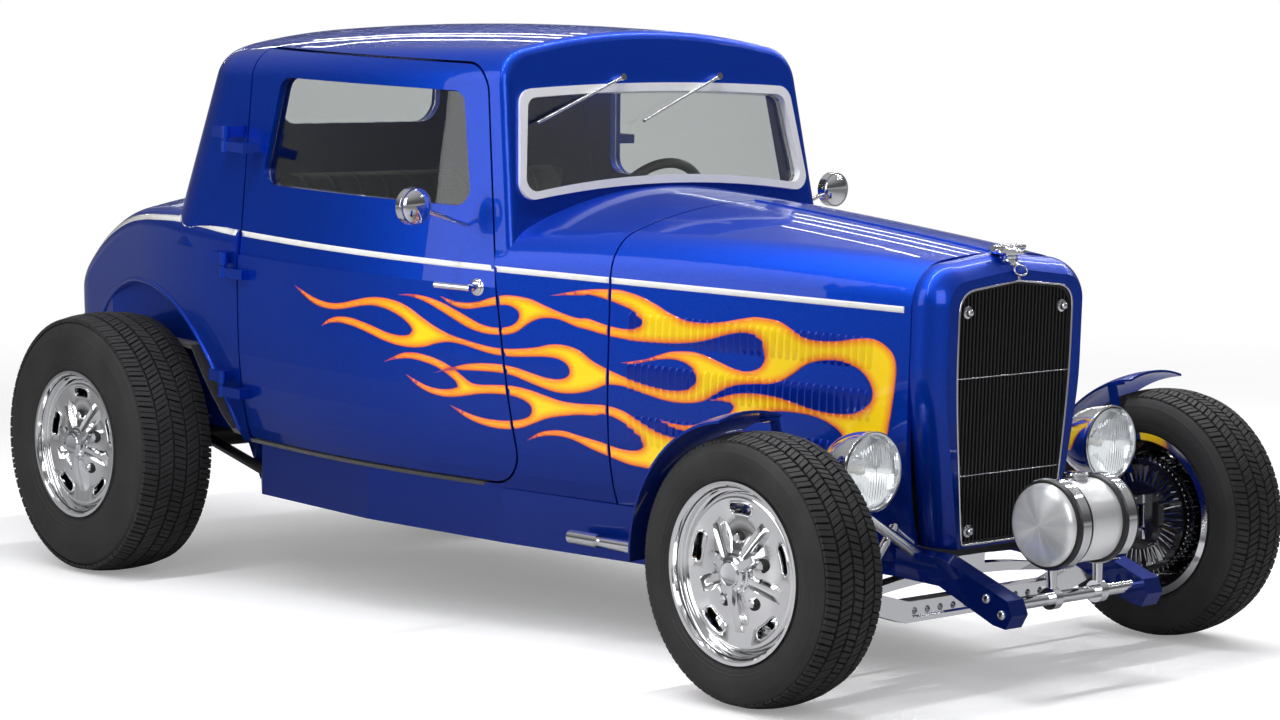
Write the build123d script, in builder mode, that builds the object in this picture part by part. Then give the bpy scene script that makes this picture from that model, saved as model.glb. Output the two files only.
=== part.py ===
# Flamed highboy coupe: a raked body on bare rails with open wheels
# Millimetres. +X is forward, +Y is left, +Z is up, and the ground is Z = 0.
import math
import os
from build123d import *

os.makedirs("parts", exist_ok=True)

# Stance
MID_X = -38.8        # puts the origin under the middle of the whole car
RAKE = 2.6           # nose-down angle of the body in degrees
FRONT_X, REAR_X = 1521 + MID_X, -1171 + MID_X
FRONT_R, REAR_R = 313, 369
RUN = 0.05           # radial running clearance of a shaft
GAP = 6              # shut line round a door or a lid

# Body shell, in the raked body frame (u forward, v left, w up)
NOSE_U, TAIL_U = 1520, -1875
NOSE_HALF, BELT_HALF, TAIL_HALF = 268, 676, 440
SHOULDER_U, HIP_U = -74, -900
SILL_W, BELT_W = 385, 955
WALL, HOOD_WALL, ROOF_WALL, LID_WALL = 45, 14, 40, 30
COWL_U, DASH_U = 697, 300
FIREWALL = 20
HOOD_EDGE, DECK_EDGE, ROOF_EDGE, POST_EDGE = 110, 60, 100, 26
HOOD_AXIS_W, DECK_AXIS_W, ROOF_AXIS_W = -160, -1550, -655
QUARTER_U = -600

# Wheels
RIM_FLANGE, BEAD_R, HUB_BORE = 208, 192, 20
FRONT_RIM = (614, 800)
REAR_RIM = (597, 832)
KINGPIN_Y = 548

cos_r, sin_r = math.cos(math.radians(RAKE)), math.sin(math.radians(RAKE))
BODY = Plane(origin=(MID_X, 0, 0), x_dir=(cos_r, 0, -sin_r), z_dir=(sin_r, 0, cos_r))


def level(w):
    return BODY.offset(w)


def side(v):
    return Plane(BODY.from_local_coords((0, v, 0)), x_dir=BODY.x_dir, z_dir=(0, -1, 0))


def station(u):
    return Plane(BODY.from_local_coords((u, 0, 0)), x_dir=(0, 1, 0), z_dir=BODY.x_dir)


def at(u, v, w):
    return BODY.from_local_coords(Vector(u, v, w))


def local(point):
    return BODY.to_local_coords(point)


def bar(a, b, radius):
    a, b = Vector(*a), Vector(*b)
    with BuildPart() as p:
        with BuildSketch(Plane(origin=a, z_dir=b - a)):
            Circle(radius)
        extrude(amount=(b - a).length)
    return p.part


def slab(u0, u1, v0, v1, w0, w1):
    with BuildPart() as p:
        with BuildSketch(level(w0)):
            with Locations(((u0 + u1) / 2, (v0 + v1) / 2)):
                Rectangle(u1 - u0, v1 - v0)
        extrude(amount=w1 - w0)
    return p.part


def lathe(points, arc=360):
    # a profile of (y, radius) turned about the Y axis
    with BuildPart() as p:
        with BuildSketch(Plane.YZ):
            with BuildLine():
                Polyline(*points, close=True)
            make_face()
        revolve(axis=Axis.Y, revolution_arc=arc)
    return p.part


def extruded(plane, points, amount, both=False, rounding=0):
    with BuildPart() as p:
        with BuildSketch(plane) as sk:
            with BuildLine():
                Polyline(*points, close=True)
            make_face()
            if rounding:
                fillet(sk.vertices(), rounding)
        extrude(amount=amount, both=both)
    return p.part


def cut(part, *tools):
    with BuildPart() as p:
        add(part)
        for tool in tools:
            add(tool, mode=Mode.SUBTRACT)
    return p.part


def common(part, *tools):
    with BuildPart() as p:
        add(part)
        for tool in tools:
            add(tool, mode=Mode.INTERSECT)
    return p.part


def join(*parts):
    with BuildPart() as p:
        for piece in parts:
            add(piece)
    return p.part


def flip(part):
    return mirror(part, about=Plane.XZ)


def save(part, name):
    part.label = name
    export_step(part, f"parts/{name}.step")


# Lower body: one plan outline carried up through eight levels
LEVELS = ((SILL_W, 45), (430, 29), (485, 17), (550, 8), (630, 2), (720, 0), (BELT_W, 0), (1150, 24))  # level, tuck


def plan(inset, w):
    with BuildSketch(level(w)) as sk:
        with BuildLine():
            Line((NOSE_U, 0), (NOSE_U, NOSE_HALF - inset))
            FilletPolyline(
                (NOSE_U, NOSE_HALF - inset), (SHOULDER_U, BELT_HALF - inset), (HIP_U, BELT_HALF - inset),
                (TAIL_U + inset, TAIL_HALF - inset), (TAIL_U + inset, 0), radius=[2600, 2600, 300 - inset])
            mirror(about=Plane.XZ)
        make_face()
    return sk.sketch


def lower(inset, ruled=True):
    with BuildPart() as p:
        for w, tuck in LEVELS:
            add(plan(tuck + inset, w))
        loft(ruled=ruled)
    return p.part


def nose(inset):
    # hood and cowl: the lower body under a crowned top, with a soft shoulder
    with BuildPart() as p:
        add(lower(inset))
        with BuildPart(mode=Mode.INTERSECT):
            with BuildSketch(side(0)):
                with BuildLine():
                    top = ThreePointArc((NOSE_U, 1072 - inset), (800, 1124 - inset), (DASH_U, 1146 - inset))
                    Polyline(top @ 1, (DASH_U, HOOD_AXIS_W), (NOSE_U, HOOD_AXIS_W), top @ 0)
                make_face()
            revolve(axis=Axis(BODY.from_local_coords((0, 0, HOOD_AXIS_W)), BODY.x_dir))
        shoulder = [e for e in p.edges() if local(e.center()).Z > 960 and abs(e.center().Y) > 150 and e.length > 300]
        fillet(shoulder, HOOD_EDGE - inset)
    return p.part


def tail(inset):
    # rear quarter: the lower body under a deck that falls to the tail
    with BuildPart() as p:
        add(lower(inset, ruled=False))
        with BuildPart(mode=Mode.INTERSECT):
            with BuildSketch(side(0)):
                with BuildLine():
                    flat = Line((QUARTER_U, 1060 - inset), (-1000, 1060 - inset))
                    fall = TangentArc(flat @ 1, (-1850 + inset, 660), tangent=flat % 1)
                    Polyline(fall @ 1, (TAIL_U - 5 + inset, 500), (TAIL_U - 5 + inset, DECK_AXIS_W),
                             (QUARTER_U, DECK_AXIS_W), flat @ 0)
                make_face()
            revolve(axis=Axis(BODY.from_local_coords((0, 0, DECK_AXIS_W)), BODY.x_dir))
        rim = [e for e in p.edges() if local(e.center()).Z > 480 and local(e.center()).X < QUARTER_U - 10]
        fillet(rim, DECK_EDGE - inset)
    return p.part


# Cabin: the same plan idea with tumblehome, a crowned roof and a leaned windscreen
CABIN_W = 900
CABIN = ((CABIN_W, 0, -1097), (1600, 92, -925))  # level, tuck, back
SCREEN_U, SCREEN_W, SCREEN_LEAN = 376, 1098, 0.2
CABIN_FRONT = 600


def screen_u(w, inset=0):
    return SCREEN_U - (w - SCREEN_W) * SCREEN_LEAN - inset


def cabin(inset):
    slope = (BELT_HALF - NOSE_HALF) / (NOSE_U - SHOULDER_U)
    with BuildPart() as p:
        for w, tuck, back in CABIN:
            t = tuck + inset
            front_half = NOSE_HALF + (NOSE_U - CABIN_FRONT) * slope - t
            with BuildSketch(level(w)):
                with BuildLine():
                    Line((CABIN_FRONT, 0), (CABIN_FRONT, front_half))
                    FilletPolyline((CABIN_FRONT, front_half), (SHOULDER_U, BELT_HALF - t), (back + inset, 660 - t),
                                   (back + inset, 0), radius=[2600, 220 - inset])
                    mirror(about=Plane.XZ)
                make_face()
        loft(ruled=True)
        with BuildPart(mode=Mode.INTERSECT):
            with BuildSketch(side(0)):
                with BuildLine():
                    top = ThreePointArc((620, 1530 - inset), (100, 1545 - inset), (-1150, 1478 - inset))
                    Polyline(top @ 1, (-1150, ROOF_AXIS_W), (620, ROOF_AXIS_W), top @ 0)
                make_face()
            revolve(axis=Axis(BODY.from_local_coords((0, 0, ROOF_AXIS_W)), BODY.x_dir))
        rim = [e for e in p.edges() if local(e.center()).Z > 1360 and local(e.center()).X < CABIN_FRONT - 10
               and abs(local(e @ 0).Z - local(e @ 1).Z) < e.length / 2]
        fillet(rim, ROOF_EDGE - min(inset, 30))
        with BuildSketch(side(0)):
            with BuildLine():
                Polyline((screen_u(800, inset), 800), (screen_u(1700, inset), 1700), (900, 1700), (900, 800), close=True)
            make_face()
        extrude(amount=900, both=True, mode=Mode.SUBTRACT)
        if inset == 0:
            post = [e for e in p.edges() if abs(local(e.center()).X - screen_u(local(e.center()).Z)) < 3
                    and local(e.center()).Z > CABIN_W + 10]
            fillet(post, POST_EDGE)
    return p.part


lower_out, lower_in = lower(0), lower(WALL)
nose_out, nose_in, hood_in = nose(0), nose(WALL), nose(HOOD_WALL)
tail_out, tail_in, lid_in = tail(0), tail(WALL), tail(LID_WALL)
cabin_out, cabin_in = cabin(0), cabin(ROOF_WALL)

# Door outline in side view, front edge first
DOOR = ((450, 395), (357, 955), (268, 1460), (-672, 1460), (-624, 955), (-594, 395))
DOOR_SLANT = 0.25     # the front jamb opens outward so the door swings clear


def door_prism(gap):
    with BuildPart() as p:
        for v in (400, 800):
            lean = (v - 570) * DOOR_SLANT
            with BuildSketch(side(v)) as sk:
                with BuildLine():
                    Polyline(*[(u + (lean if u > 0 else 0), w) for u, w in DOOR], close=True)
                make_face()
                pick = sk.vertices().sort_by(Axis.Z)
                fillet(pick.filter_by(lambda q: local(q.center()).Z > 1400 and local(q.center()).X > 0), 60)
                fillet(sk.vertices().filter_by(lambda q: local(q.center()).Z > 1450 and local(q.center()).X < -500), 120)
                fillet(sk.vertices().filter_by(lambda q: local(q.center()).Z < 400 and local(q.center()).X > 0), 90)
                if gap:
                    offset(amount=-gap, mode=Mode.REPLACE)
        loft(ruled=True)
    return p.part


door_hole = door_prism(0)
door_shape = door_prism(GAP)
door_holes = [door_hole, flip(door_hole)]

# Cowl, with the firewall left in
cowl_inner = common(nose_in, slab(DASH_U - 50, COWL_U - FIREWALL, -800, 800, 300, 1300))
cowl = cut(common(nose_out, slab(DASH_U, COWL_U, -800, 800, SILL_W, 1300)), cowl_inner, *door_holes)
save(cowl, "cowl")

# Hood: a lift-off top over two louvred sides
hood_skin = common(cut(nose_out, hood_in), slab(COWL_U, NOSE_U, -800, 800, SILL_W, 1300))
shut_line = cut(slab(COWL_U, COWL_U + 5, -800, 800, 300, 1300), nose(7))
save(cut(common(hood_skin, slab(COWL_U, NOSE_U, -800, 800, BELT_W, 1300)), shut_line), "hood_top")
save(cut(common(hood_skin, slab(COWL_U, NOSE_U, -800, 800, SILL_W, BELT_W)), shut_line), "hood_sides")

# Rear wheel arch and its inner wheelhouse
ARCH_V, HOUSE_V = 545, 512


def arch(grow, v0, v1):
    with BuildPart() as p:
        with BuildSketch(side(v0)) as sk:
            with BuildLine():
                ThreePointArc((-1640, 330), (-1512, 636), (-1190, 765))
                ThreePointArc((-1190, 765), (-850, 668), (-622, 330))
                Line((-622, 330), (-1640, 330))
            make_face()
            if grow:
                offset(amount=grow)
        extrude(amount=v0 - v1)
    return p.part


arches = [arch(0, ARCH_V, 900), flip(arch(0, ARCH_V, 900))]
houses = [arch(30, HOUSE_V, 690), flip(arch(30, HOUSE_V, 690))]

# Deck lid prism, square to the falling deck
LID_TILT = 30
lid_dir = Vector(-math.sin(math.radians(LID_TILT)), 0, math.cos(math.radians(LID_TILT)))


def lid_prism(gap):
    face = Plane(at(-1450, 0, 900), x_dir=(at(math.cos(math.radians(LID_TILT)), 0, math.sin(math.radians(LID_TILT))) - at(0, 0, 0)),
                 z_dir=(at(lid_dir.X, 0, lid_dir.Z) - at(0, 0, 0)))
    with BuildPart() as p:
        with BuildSketch(face) as sk:
            with BuildLine():
                Polyline((330, 400), (330, -400), (-380, -335), (-380, 335), close=True)
            make_face()
            fillet(sk.vertices(), 60)
            if gap:
                offset(amount=-gap, mode=Mode.REPLACE)
        extrude(amount=260, both=True)
    return p.part


rear_hollow = cut(tail_in, *houses)
rear_body = cut(tail_out, rear_hollow, cabin_out, *door_holes, *arches, lid_prism(0))
lid = common(cut(tail_out, lid_in), lid_prism(GAP))

# Deck lid hinges: lugs and pin on the body, a barrel and strap on the lid
LID_HINGE = (-1156, 110, 1052)
LUG_R, LID_PIN_R, BARREL_HALF, LUG_LONG = 9, 5, 15, 18
hu, hv, hw = LID_HINGE


def across(v0, v1, radius):
    return bar(at(hu, v0, hw), at(hu, v1, hw), radius)


lugs, barrels, notches, pockets, bores = [], [], [], [], []
for v in (-hv, hv):
    inner, outer = BARREL_HALF + GAP, BARREL_HALF + GAP + LUG_LONG
    lugs += [across(v - outer, v - inner, LUG_R), across(v + inner, v + outer, LUG_R), across(v - outer, v + outer, LID_PIN_R)]
    lugs += [slab(hu, hu + 40, v + a, v + b, hw - 12, hw + 9) for a, b in ((-outer, -inner), (inner, outer))]
    barrels += [across(v - BARREL_HALF, v + BARREL_HALF, LUG_R), slab(hu - 36, hu, v - BARREL_HALF, v + BARREL_HALF, hw - 24, hw + 2)]
    notches += [across(v - outer - GAP, v + outer + GAP, LUG_R + GAP)]
    pockets += [across(v - BARREL_HALF - GAP, v + BARREL_HALF + GAP, LUG_R + GAP)]
    bores += [across(v - 2 * BARREL_HALF, v + 2 * BARREL_HALF, LID_PIN_R + RUN)]
rear_body = cut(rear_body, *pockets)
lid = cut(join(cut(lid, *notches), *barrels), *bores)
save(rear_body, "rear_body")
save(lid, "deck_lid")
save(cut(join(*lugs), rear_body), "lid_hinges")

# Roof with its posts, windscreen opening and rear window
SCREEN = Plane(at(SCREEN_U, 0, SCREEN_W), x_dir=(0, 1, 0),
               z_dir=at(1, 0, SCREEN_LEAN) - at(0, 0, 0))


def screen_prism(inset, back, front):
    # windscreen outline, measured up the leaned plane, from behind it to ahead of it
    with BuildPart() as p:
        with BuildSketch(SCREEN.offset(-back)) as sk:
            with BuildLine():
                ThreePointArc((-508 + inset, 14 + inset), (0, 52 + inset), (508 - inset, 14 + inset))
                Line((508 - inset, 14 + inset), (470 - inset, 302 - inset))
                ThreePointArc((470 - inset, 302 - inset), (0, 316 - inset), (-470 + inset, 302 - inset))
                Line((-470 + inset, 302 - inset), (-508 + inset, 14 + inset))
            make_face()
            fillet(sk.vertices(), 42 - inset / 2)
        extrude(amount=back + front)
    return p.part


REAR_GLASS = ((-290, 1225), (290, 1225), (265, 1395), (-265, 1395))


def rear_glass_prism(inset):
    with BuildPart() as p:
        with BuildSketch(station(-800)) as sk:
            with BuildLine():
                Polyline(*REAR_GLASS, close=True)
            make_face()
            fillet(sk.vertices(), 55)
            if inset:
                offset(amount=-inset, mode=Mode.REPLACE)
        extrude(amount=-400)
    return p.part


cabin_wall = cut(cabin_out, cabin_in)
roof = cut(cabin_wall, nose_out, screen_prism(0, 120, 60), rear_glass_prism(0), *door_holes)
save(roof, "roof")

# Windscreen frame and the two fixed panes
save(cut(screen_prism(0, 30, 9), screen_prism(22, 60, 40), cowl), "windshield_frame")
pane = screen_prism(22, 20, -12)
rear_pane = common(cut(cabin(12), cabin(20)), rear_glass_prism(0))
save(join(pane, rear_pane), "fixed_glass")

# Doors, each a thick panel with its window cut through
WINDOW = ((256, 1096), (190, 1385), (-520, 1385), (-555, 1096))


def window_prism(inset):
    with BuildPart() as p:
        with BuildSketch(side(400)) as sk:
            with BuildLine():
                Polyline(*WINDOW, close=True)
            make_face()
            fillet(sk.vertices(), 40)
            if inset:
                offset(amount=-inset, mode=Mode.REPLACE)
        extrude(amount=-400)
    return p.part


door_zone = slab(-760, 560, 300, 800, SILL_W, CABIN_W)
door_wall = join(common(cut(lower_out, lower_in), door_zone), common(cabin_wall, slab(-760, 560, 455, 800, CABIN_W, 1560)))
door = cut(common(door_wall, door_shape), window_prism(0))
save(door, "door_left")
save(flip(door), "door_right")
door_pane = common(cut(cabin(16), cabin(22)), window_prism(0), slab(-760, 560, 300, 800, BELT_W, 1560))
save(door_pane, "door_glass_left")
save(flip(door_pane), "door_glass_right")

# Floor: cabin pan, kick-up riser and trunk pan as one bent sheet, with the sills
KICK = ((-760, SILL_W), (-940, 600))
FLOOR = 12
pan = extruded(side(0), [(COWL_U - FIREWALL, SILL_W), KICK[0], KICK[1], (-1800, KICK[1][1]), (-1800, KICK[1][1] + FLOOR),
                         (KICK[1][0] - 6, KICK[1][1] + FLOOR), (KICK[0][0] - 6, SILL_W + FLOOR),
                         (COWL_U - FIREWALL, SILL_W + FLOOR)], 640, both=True)
sills = common(lower_out, slab(QUARTER_U, 460, -800, 800, SILL_W, 394))
floor_pan = cut(join(common(pan, lower_in), sills), cowl, rear_body)
save(floor_pan, "floor_pan")

# Frame rails: a side profile with horns and a rear kick, kept to a plan band
RAIL_WALL = 55
rail_side = [(1500, 385), (1640, 385), (1852, 318), (1868, 285), (1850, 252), (1812, 256), (1640, 318), (1420, 318),
             (1120, 245), (-750, 245), (-940, 510), (-1420, 510), (-1500, 470), (-1500, 545),
             (-1400, 600), KICK[1], KICK[0]]
RAIL_PLAN = ((1880, 265), (1500, 266), (1100, 336), (360, 522), (-100, 608), (-560, 622), (-750, 492), (-1860, 420))  # u, outer face
rail_band = [p for p in RAIL_PLAN] + [(u, v - RAIL_WALL) for u, v in reversed(RAIL_PLAN)]
with BuildPart() as rail:
    with BuildSketch(side(700)) as sk:
        with BuildLine():
            Polyline(*rail_side, close=True)
        make_face()
    extrude(amount=700)
    add(extruded(level(200), rail_band, 500), mode=Mode.INTERSECT)
rails = join(rail.part, flip(rail.part))
save(rails, "frame_rails")

# Crossmembers between the rails
CROSS = ((1425, 1505, 345, 385), (1090, 1130, 270, 300), (280, 330, 290, 330), (-1230, -1150, 530, 590), (-1440, -1405, 520, 560))  # u from, to, w from, to
cross = cut(join(*[slab(u0, u1, -560, 560, w0, w1) for u0, u1, w0, w1 in CROSS]), rails)
cross = join(*[s for s in cross.solids() if abs(s.center().Y) < 20])
save(cross, "crossmembers")

# Spreader bar, tank saddles and the spun tank
BAR_X, BAR_Z, TANK_Z, TANK_R, TANK_HALF, STRAP_Y = 1835 + MID_X, 217, 390, 97, 130, 80
horn_half = RAIL_PLAN[0][1] - RAIL_WALL
spreader = bar((BAR_X, -horn_half, BAR_Z), (BAR_X, horn_half, BAR_Z), 15)
tank = lathe([(-TANK_HALF, 0), (-TANK_HALF + 8, 82), (-TANK_HALF + 22, TANK_R), (TANK_HALF - 22, TANK_R), (TANK_HALF - 8, 82), (TANK_HALF, 0)])
tank = Pos(BAR_X, 0, TANK_Z) * tank
straps = []
for y in (-STRAP_Y, STRAP_Y):
    ring = lathe([(y - 14, TANK_R), (y + 14, TANK_R), (y + 14, TANK_R + 10), (y - 14, TANK_R + 10)])
    leg = bar((BAR_X, y, BAR_Z), (BAR_X, y, TANK_Z - TANK_R - 4), 12)
    eye = Pos(BAR_X, 0, BAR_Z) * lathe([(y - 12, 0), (y + 12, 0), (y + 12, 26), (y - 12, 26)])
    straps += [Pos(BAR_X, 0, TANK_Z) * ring, leg, eye]
filler = bar((BAR_X, 0, TANK_Z + TANK_R - 4), (BAR_X, 0, TANK_Z + TANK_R + 18), 30)
tank = join(tank, filler)
save(tank, "front_tank")
save(cut(join(spreader, *straps), tank, rails), "spreader_bar")

# Front axle: a dropped beam drilled along its web
BEAM_Z = 165
beam_top = [(515, 338), (470, 338), (395, 232), (250, BEAM_Z + 26)]
beam_low = [(262, BEAM_Z - 24), (425, 190), (500, 288), (515, 288)]
beam = beam_top + [(-y, z) for y, z in reversed(beam_top)] + [(-y, z) for y, z in reversed(beam_low)] + beam_low
FRONT = Plane(origin=(FRONT_X, 0, 0), x_dir=(0, 1, 0), z_dir=(1, 0, 0))
with BuildPart() as axle:
    with BuildSketch(FRONT) as sk:
        with BuildLine():
            Polyline(*beam, close=True)
        make_face()
    extrude(amount=23, both=True)
    for x in (FRONT_X - 23, FRONT_X + 23):
        with BuildSketch(Plane(origin=(x, 0, 0), x_dir=(0, 1, 0), z_dir=(1, 0, 0))):
            with Locations((0, BEAM_Z)):
                Rectangle(480, 26)
        extrude(amount=12, both=True, mode=Mode.SUBTRACT)
    with BuildSketch(FRONT):
        with GridLocations(44, 1, 11, 1):
            with Locations((0, BEAM_Z)):
                Circle(9)
    extrude(amount=40, both=True, mode=Mode.SUBTRACT)
    for y in (-KINGPIN_Y, KINGPIN_Y):
        with BuildSketch(Plane(origin=(FRONT_X, y, FRONT_R - 28))):
            Circle(34)
        extrude(amount=56)
        with BuildSketch(Plane(origin=(FRONT_X, y, FRONT_R - 28))):
            Circle(12 + RUN)
        extrude(amount=56, mode=Mode.SUBTRACT)
front_axle = axle.part
save(front_axle, "front_axle")

# Transverse leaf spring behind the beam, in a saddle, with perches out to the beam
SPRING_X, SPRING_HALF, PERCH_Y = FRONT_X - 62, 345, 330
with BuildPart() as spring:
    with BuildSketch(Plane(origin=(SPRING_X, 0, 0), x_dir=(0, 1, 0), z_dir=(1, 0, 0))):
        with BuildLine():
            low = ThreePointArc((-SPRING_HALF, 196), (0, 220), (SPRING_HALF, 196))
            high = ThreePointArc((-SPRING_HALF, 212), (0, 244), (SPRING_HALF, 212))
            Line(low @ 0, high @ 0)
            Line(low @ 1, high @ 1)
        make_face()
    extrude(amount=22, both=True)
saddle = slab(1444, 1484, -60, 60, 305, CROSS[0][2])
perches = [bar((FRONT_X - 15, y, 203), (SPRING_X, y, 205), 13) for y in (-PERCH_Y, PERCH_Y)]
front_spring = cut(join(spring.part, saddle, *perches), front_axle)
save(front_spring, "front_spring")

# Hairpin radius rods, each pair running back to a clevis on the rail
pins = []
for y in (-1, 1):
    end = (FRONT_X - 830, y * 500, 268)
    pins += [bar((FRONT_X - 10, y * 412, 250), end, 11), bar((FRONT_X - 10, y * 400, 205), end, 11),
             bar((end[0] + 30, end[1], end[2]), (end[0] - 70, end[1] + y * 6, end[2] + 2), 17)]
radius_rods = cut(join(*pins), front_axle, rails)
save(radius_rods, "radius_rods")

# Front shocks from the beam to the rails
damper = []
for y in (-1, 1):
    foot, head = (FRONT_X + 34, y * 420, 236), (FRONT_X + 20, y * 300, 372)
    damper += [bar(foot, (FRONT_X + 28, y * 366, 300), 17), bar((FRONT_X + 28, y * 366, 300), head, 12),
               bar((FRONT_X + 34, y * 420, 240), (FRONT_X, y * 420, 240), 9), bar(head, (FRONT_X + 20, y * 240, 330), 10)]
shocks = cut(join(*damper), front_axle, rails)
save(shocks, "front_shocks")

# Steering knuckle, left one first
ARM = (-150, 0, -135)      # tie rod pin from the kingpin centre
arm_x, arm_y, arm_z = FRONT_X + ARM[0], KINGPIN_Y + ARM[1], FRONT_R + ARM[2]


def knuckle(eye):
    lugs = [bar((FRONT_X, KINGPIN_Y, FRONT_R + 34), (FRONT_X, KINGPIN_Y, FRONT_R + 56), 26),
            bar((FRONT_X, KINGPIN_Y, FRONT_R - 56), (FRONT_X, KINGPIN_Y, FRONT_R - 34), 26)]
    kingpin = bar((FRONT_X, KINGPIN_Y, FRONT_R - 56), (FRONT_X, KINGPIN_Y, FRONT_R + 56), 12)
    back = extruded(Plane(origin=(FRONT_X, 590, FRONT_R), x_dir=(1, 0, 0), z_dir=(0, 1, 0)),
                    [(-30, -56), (30, -56), (30, 56), (-30, 56)], 18)
    ties = [extruded(Plane(origin=(FRONT_X, 548, z), x_dir=(1, 0, 0), z_dir=(0, 0, 1)), [(-22, 0), (22, 0), (26, 44), (-26, 44)], 22)
            for z in (FRONT_R + 34, FRONT_R - 56)]
    plate = Pos(FRONT_X, 0, FRONT_R) * lathe([(604, 0), (612, 0), (612, 142), (604, 142)])
    spindle = bar((FRONT_X, 600, FRONT_R), (FRONT_X, 742, FRONT_R), HUB_BORE)
    arm = bar((FRONT_X - 15, 590, FRONT_R - 50), (arm_x, arm_y, arm_z), 11)
    boss = bar((arm_x, arm_y, arm_z - 13), (arm_x, arm_y, arm_z + 13), 24)
    hole = bar((arm_x, arm_y, arm_z - 30), (arm_x, arm_y, arm_z + 30), eye)
    return cut(join(*lugs, kingpin, back, *ties, plate, spindle, arm, boss), hole)


save(knuckle(8 + RUN), "knuckle_left")
save(flip(knuckle(8 + RUN)), "knuckle_right")

# Tie rod, hung under the arms
rod_z = arm_z - 30
tie = [bar((arm_x, -arm_y, rod_z), (arm_x, arm_y, rod_z), 11)]
for y in (-arm_y, arm_y):
    tie += [bar((arm_x, y, rod_z - 12), (arm_x, y, rod_z + 11), 18), bar((arm_x, y, rod_z), (arm_x, y, arm_z + 13), 8)]
save(join(*tie), "tie_rod")


# Wheels: a stepped rim, five spokes round windows, and a three-eared nut
def wheel(rim, hub_in, drum):
    y0, y1 = rim
    rim_ring = lathe([(y0, RIM_FLANGE), (y0 + 10, RIM_FLANGE), (y0 + 12, BEAD_R), (y0 + 42, BEAD_R), (y0 + 58, 168), (y1 - 76, 168),
                      (y1 - 58, BEAD_R), (y1 - 12, BEAD_R), (y1 - 10, RIM_FLANGE), (y1, RIM_FLANGE), (y1, 198), (y1 - 8, 184),
                      (y1 - 54, 182), (y1 - 70, 160), (y0 + 54, 160), (y0 + 38, 182), (y0, 188)])
    disc = lathe([(y1 - 62, 182), (y1 - 30, 184), (y1 - 22, 170), (y1 - 34, 130), (y1 - 24, 66), (y1 - 16, 60), (y1 - 14, 0), (y1 - 52, 0),
                  (y1 - 52, HUB_BORE + RUN), (hub_in, HUB_BORE + RUN), (hub_in, 62), (y1 - 60, 66), (y1 - 62, 130)])
    with BuildPart() as windows:
        with BuildSketch(Plane(origin=(0, y1 + 40, 0), x_dir=(1, 0, 0), z_dir=(0, 1, 0))) as sk:
            with PolarLocations(0, 5, start_angle=90):
                Polygon((82, -24), (158, -62), (166, 0), (158, 62), (82, 24), align=None)
            fillet(sk.vertices(), 9)
        extrude(amount=-140)
    drum_ring = lathe([(drum[0], 128), (drum[0], 142), (drum[1] - 8, 146), (drum[1], 140), (drum[1], 40), (drum[1] - 12, 40), (drum[1] - 12, 128)])
    cone = lathe([(y1 - 20, 0), (y1 - 20, 46), (y1 - 4, 40), (y1 + 6, 26), (y1 + 8, 0)])
    with BuildPart() as ears:
        with BuildSketch(Plane(origin=(0, y1 - 6, 0), x_dir=(1, 0, 0), z_dir=(0, 1, 0))) as sk:
            with PolarLocations(0, 3, start_angle=30):
                Polygon((18, -16), (82, -9), (82, 9), (18, 16), align=None)
            fillet(sk.vertices(), 4)
        extrude(amount=10)
    return join(cut(disc, windows.part), rim_ring, drum_ring, cone, ears.part)


def tyre(rim, radius, width):
    y0, y1 = rim
    mid, half_w = (y0 + y1) / 2, width / 2
    with BuildPart() as p:
        with BuildSketch(Plane.YZ):
            with BuildLine():
                tread = ThreePointArc((mid - half_w + 28, radius - 9), (mid, radius), (mid + half_w - 28, radius - 9))
                out = ThreePointArc(tread @ 1, (mid + half_w, (radius + RIM_FLANGE) / 2 + 6), (y1 - 10, RIM_FLANGE))
                bead = Polyline(out @ 1, (y1 - 12, BEAD_R), (y0 + 12, BEAD_R), (y0 + 10, RIM_FLANGE))
                ThreePointArc(bead @ 1, (mid - half_w, (radius + RIM_FLANGE) / 2 + 6), tread @ 0)
            make_face()
        revolve(axis=Axis.Y)
    return p.part


front_wheel = Pos(FRONT_X, 0, FRONT_R) * wheel(FRONT_RIM, 668, (620, 680))
front_tyre = Pos(FRONT_X, 0, FRONT_R) * tyre(FRONT_RIM, FRONT_R, 205)
rear_wheel = Pos(REAR_X, 0, REAR_R) * wheel(REAR_RIM, 668, (590, 680))
rear_tyre = Pos(REAR_X, 0, REAR_R) * tyre(REAR_RIM, REAR_R, 255)
for name, piece in (("wheel_front", front_wheel), ("tyre_front", front_tyre), ("wheel_rear", rear_wheel), ("tyre_rear", rear_tyre)):
    save(piece, f"{name}_left")
    save(flip(piece), f"{name}_right")

# Cycle fenders, carried by the knuckles
FENDER_Y, FENDER_HALF, FENDER_R = (FRONT_RIM[0] + FRONT_RIM[1]) / 2, 98, FRONT_R + 24
FENDER_LEAD, FENDER_ARC = 6, 86    # degrees behind the top, and round from there
with BuildPart() as fender:
    with BuildSketch(Plane.YZ):
        with BuildLine():
            low = ThreePointArc((FENDER_Y - FENDER_HALF, FENDER_R), (FENDER_Y, FENDER_R + 16), (FENDER_Y + FENDER_HALF, FENDER_R))
            high = ThreePointArc((FENDER_Y - FENDER_HALF, FENDER_R + 6), (FENDER_Y, FENDER_R + 22), (FENDER_Y + FENDER_HALF, FENDER_R + 6))
            Line(low @ 0, high @ 0)
            Line(low @ 1, high @ 1)
        make_face()
    revolve(axis=Axis((0, 0, 0), (0, -1, 0)), revolution_arc=FENDER_ARC)
fender_arc = Rot(0, -FENDER_LEAD, 0) * fender.part
stays = []
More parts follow.
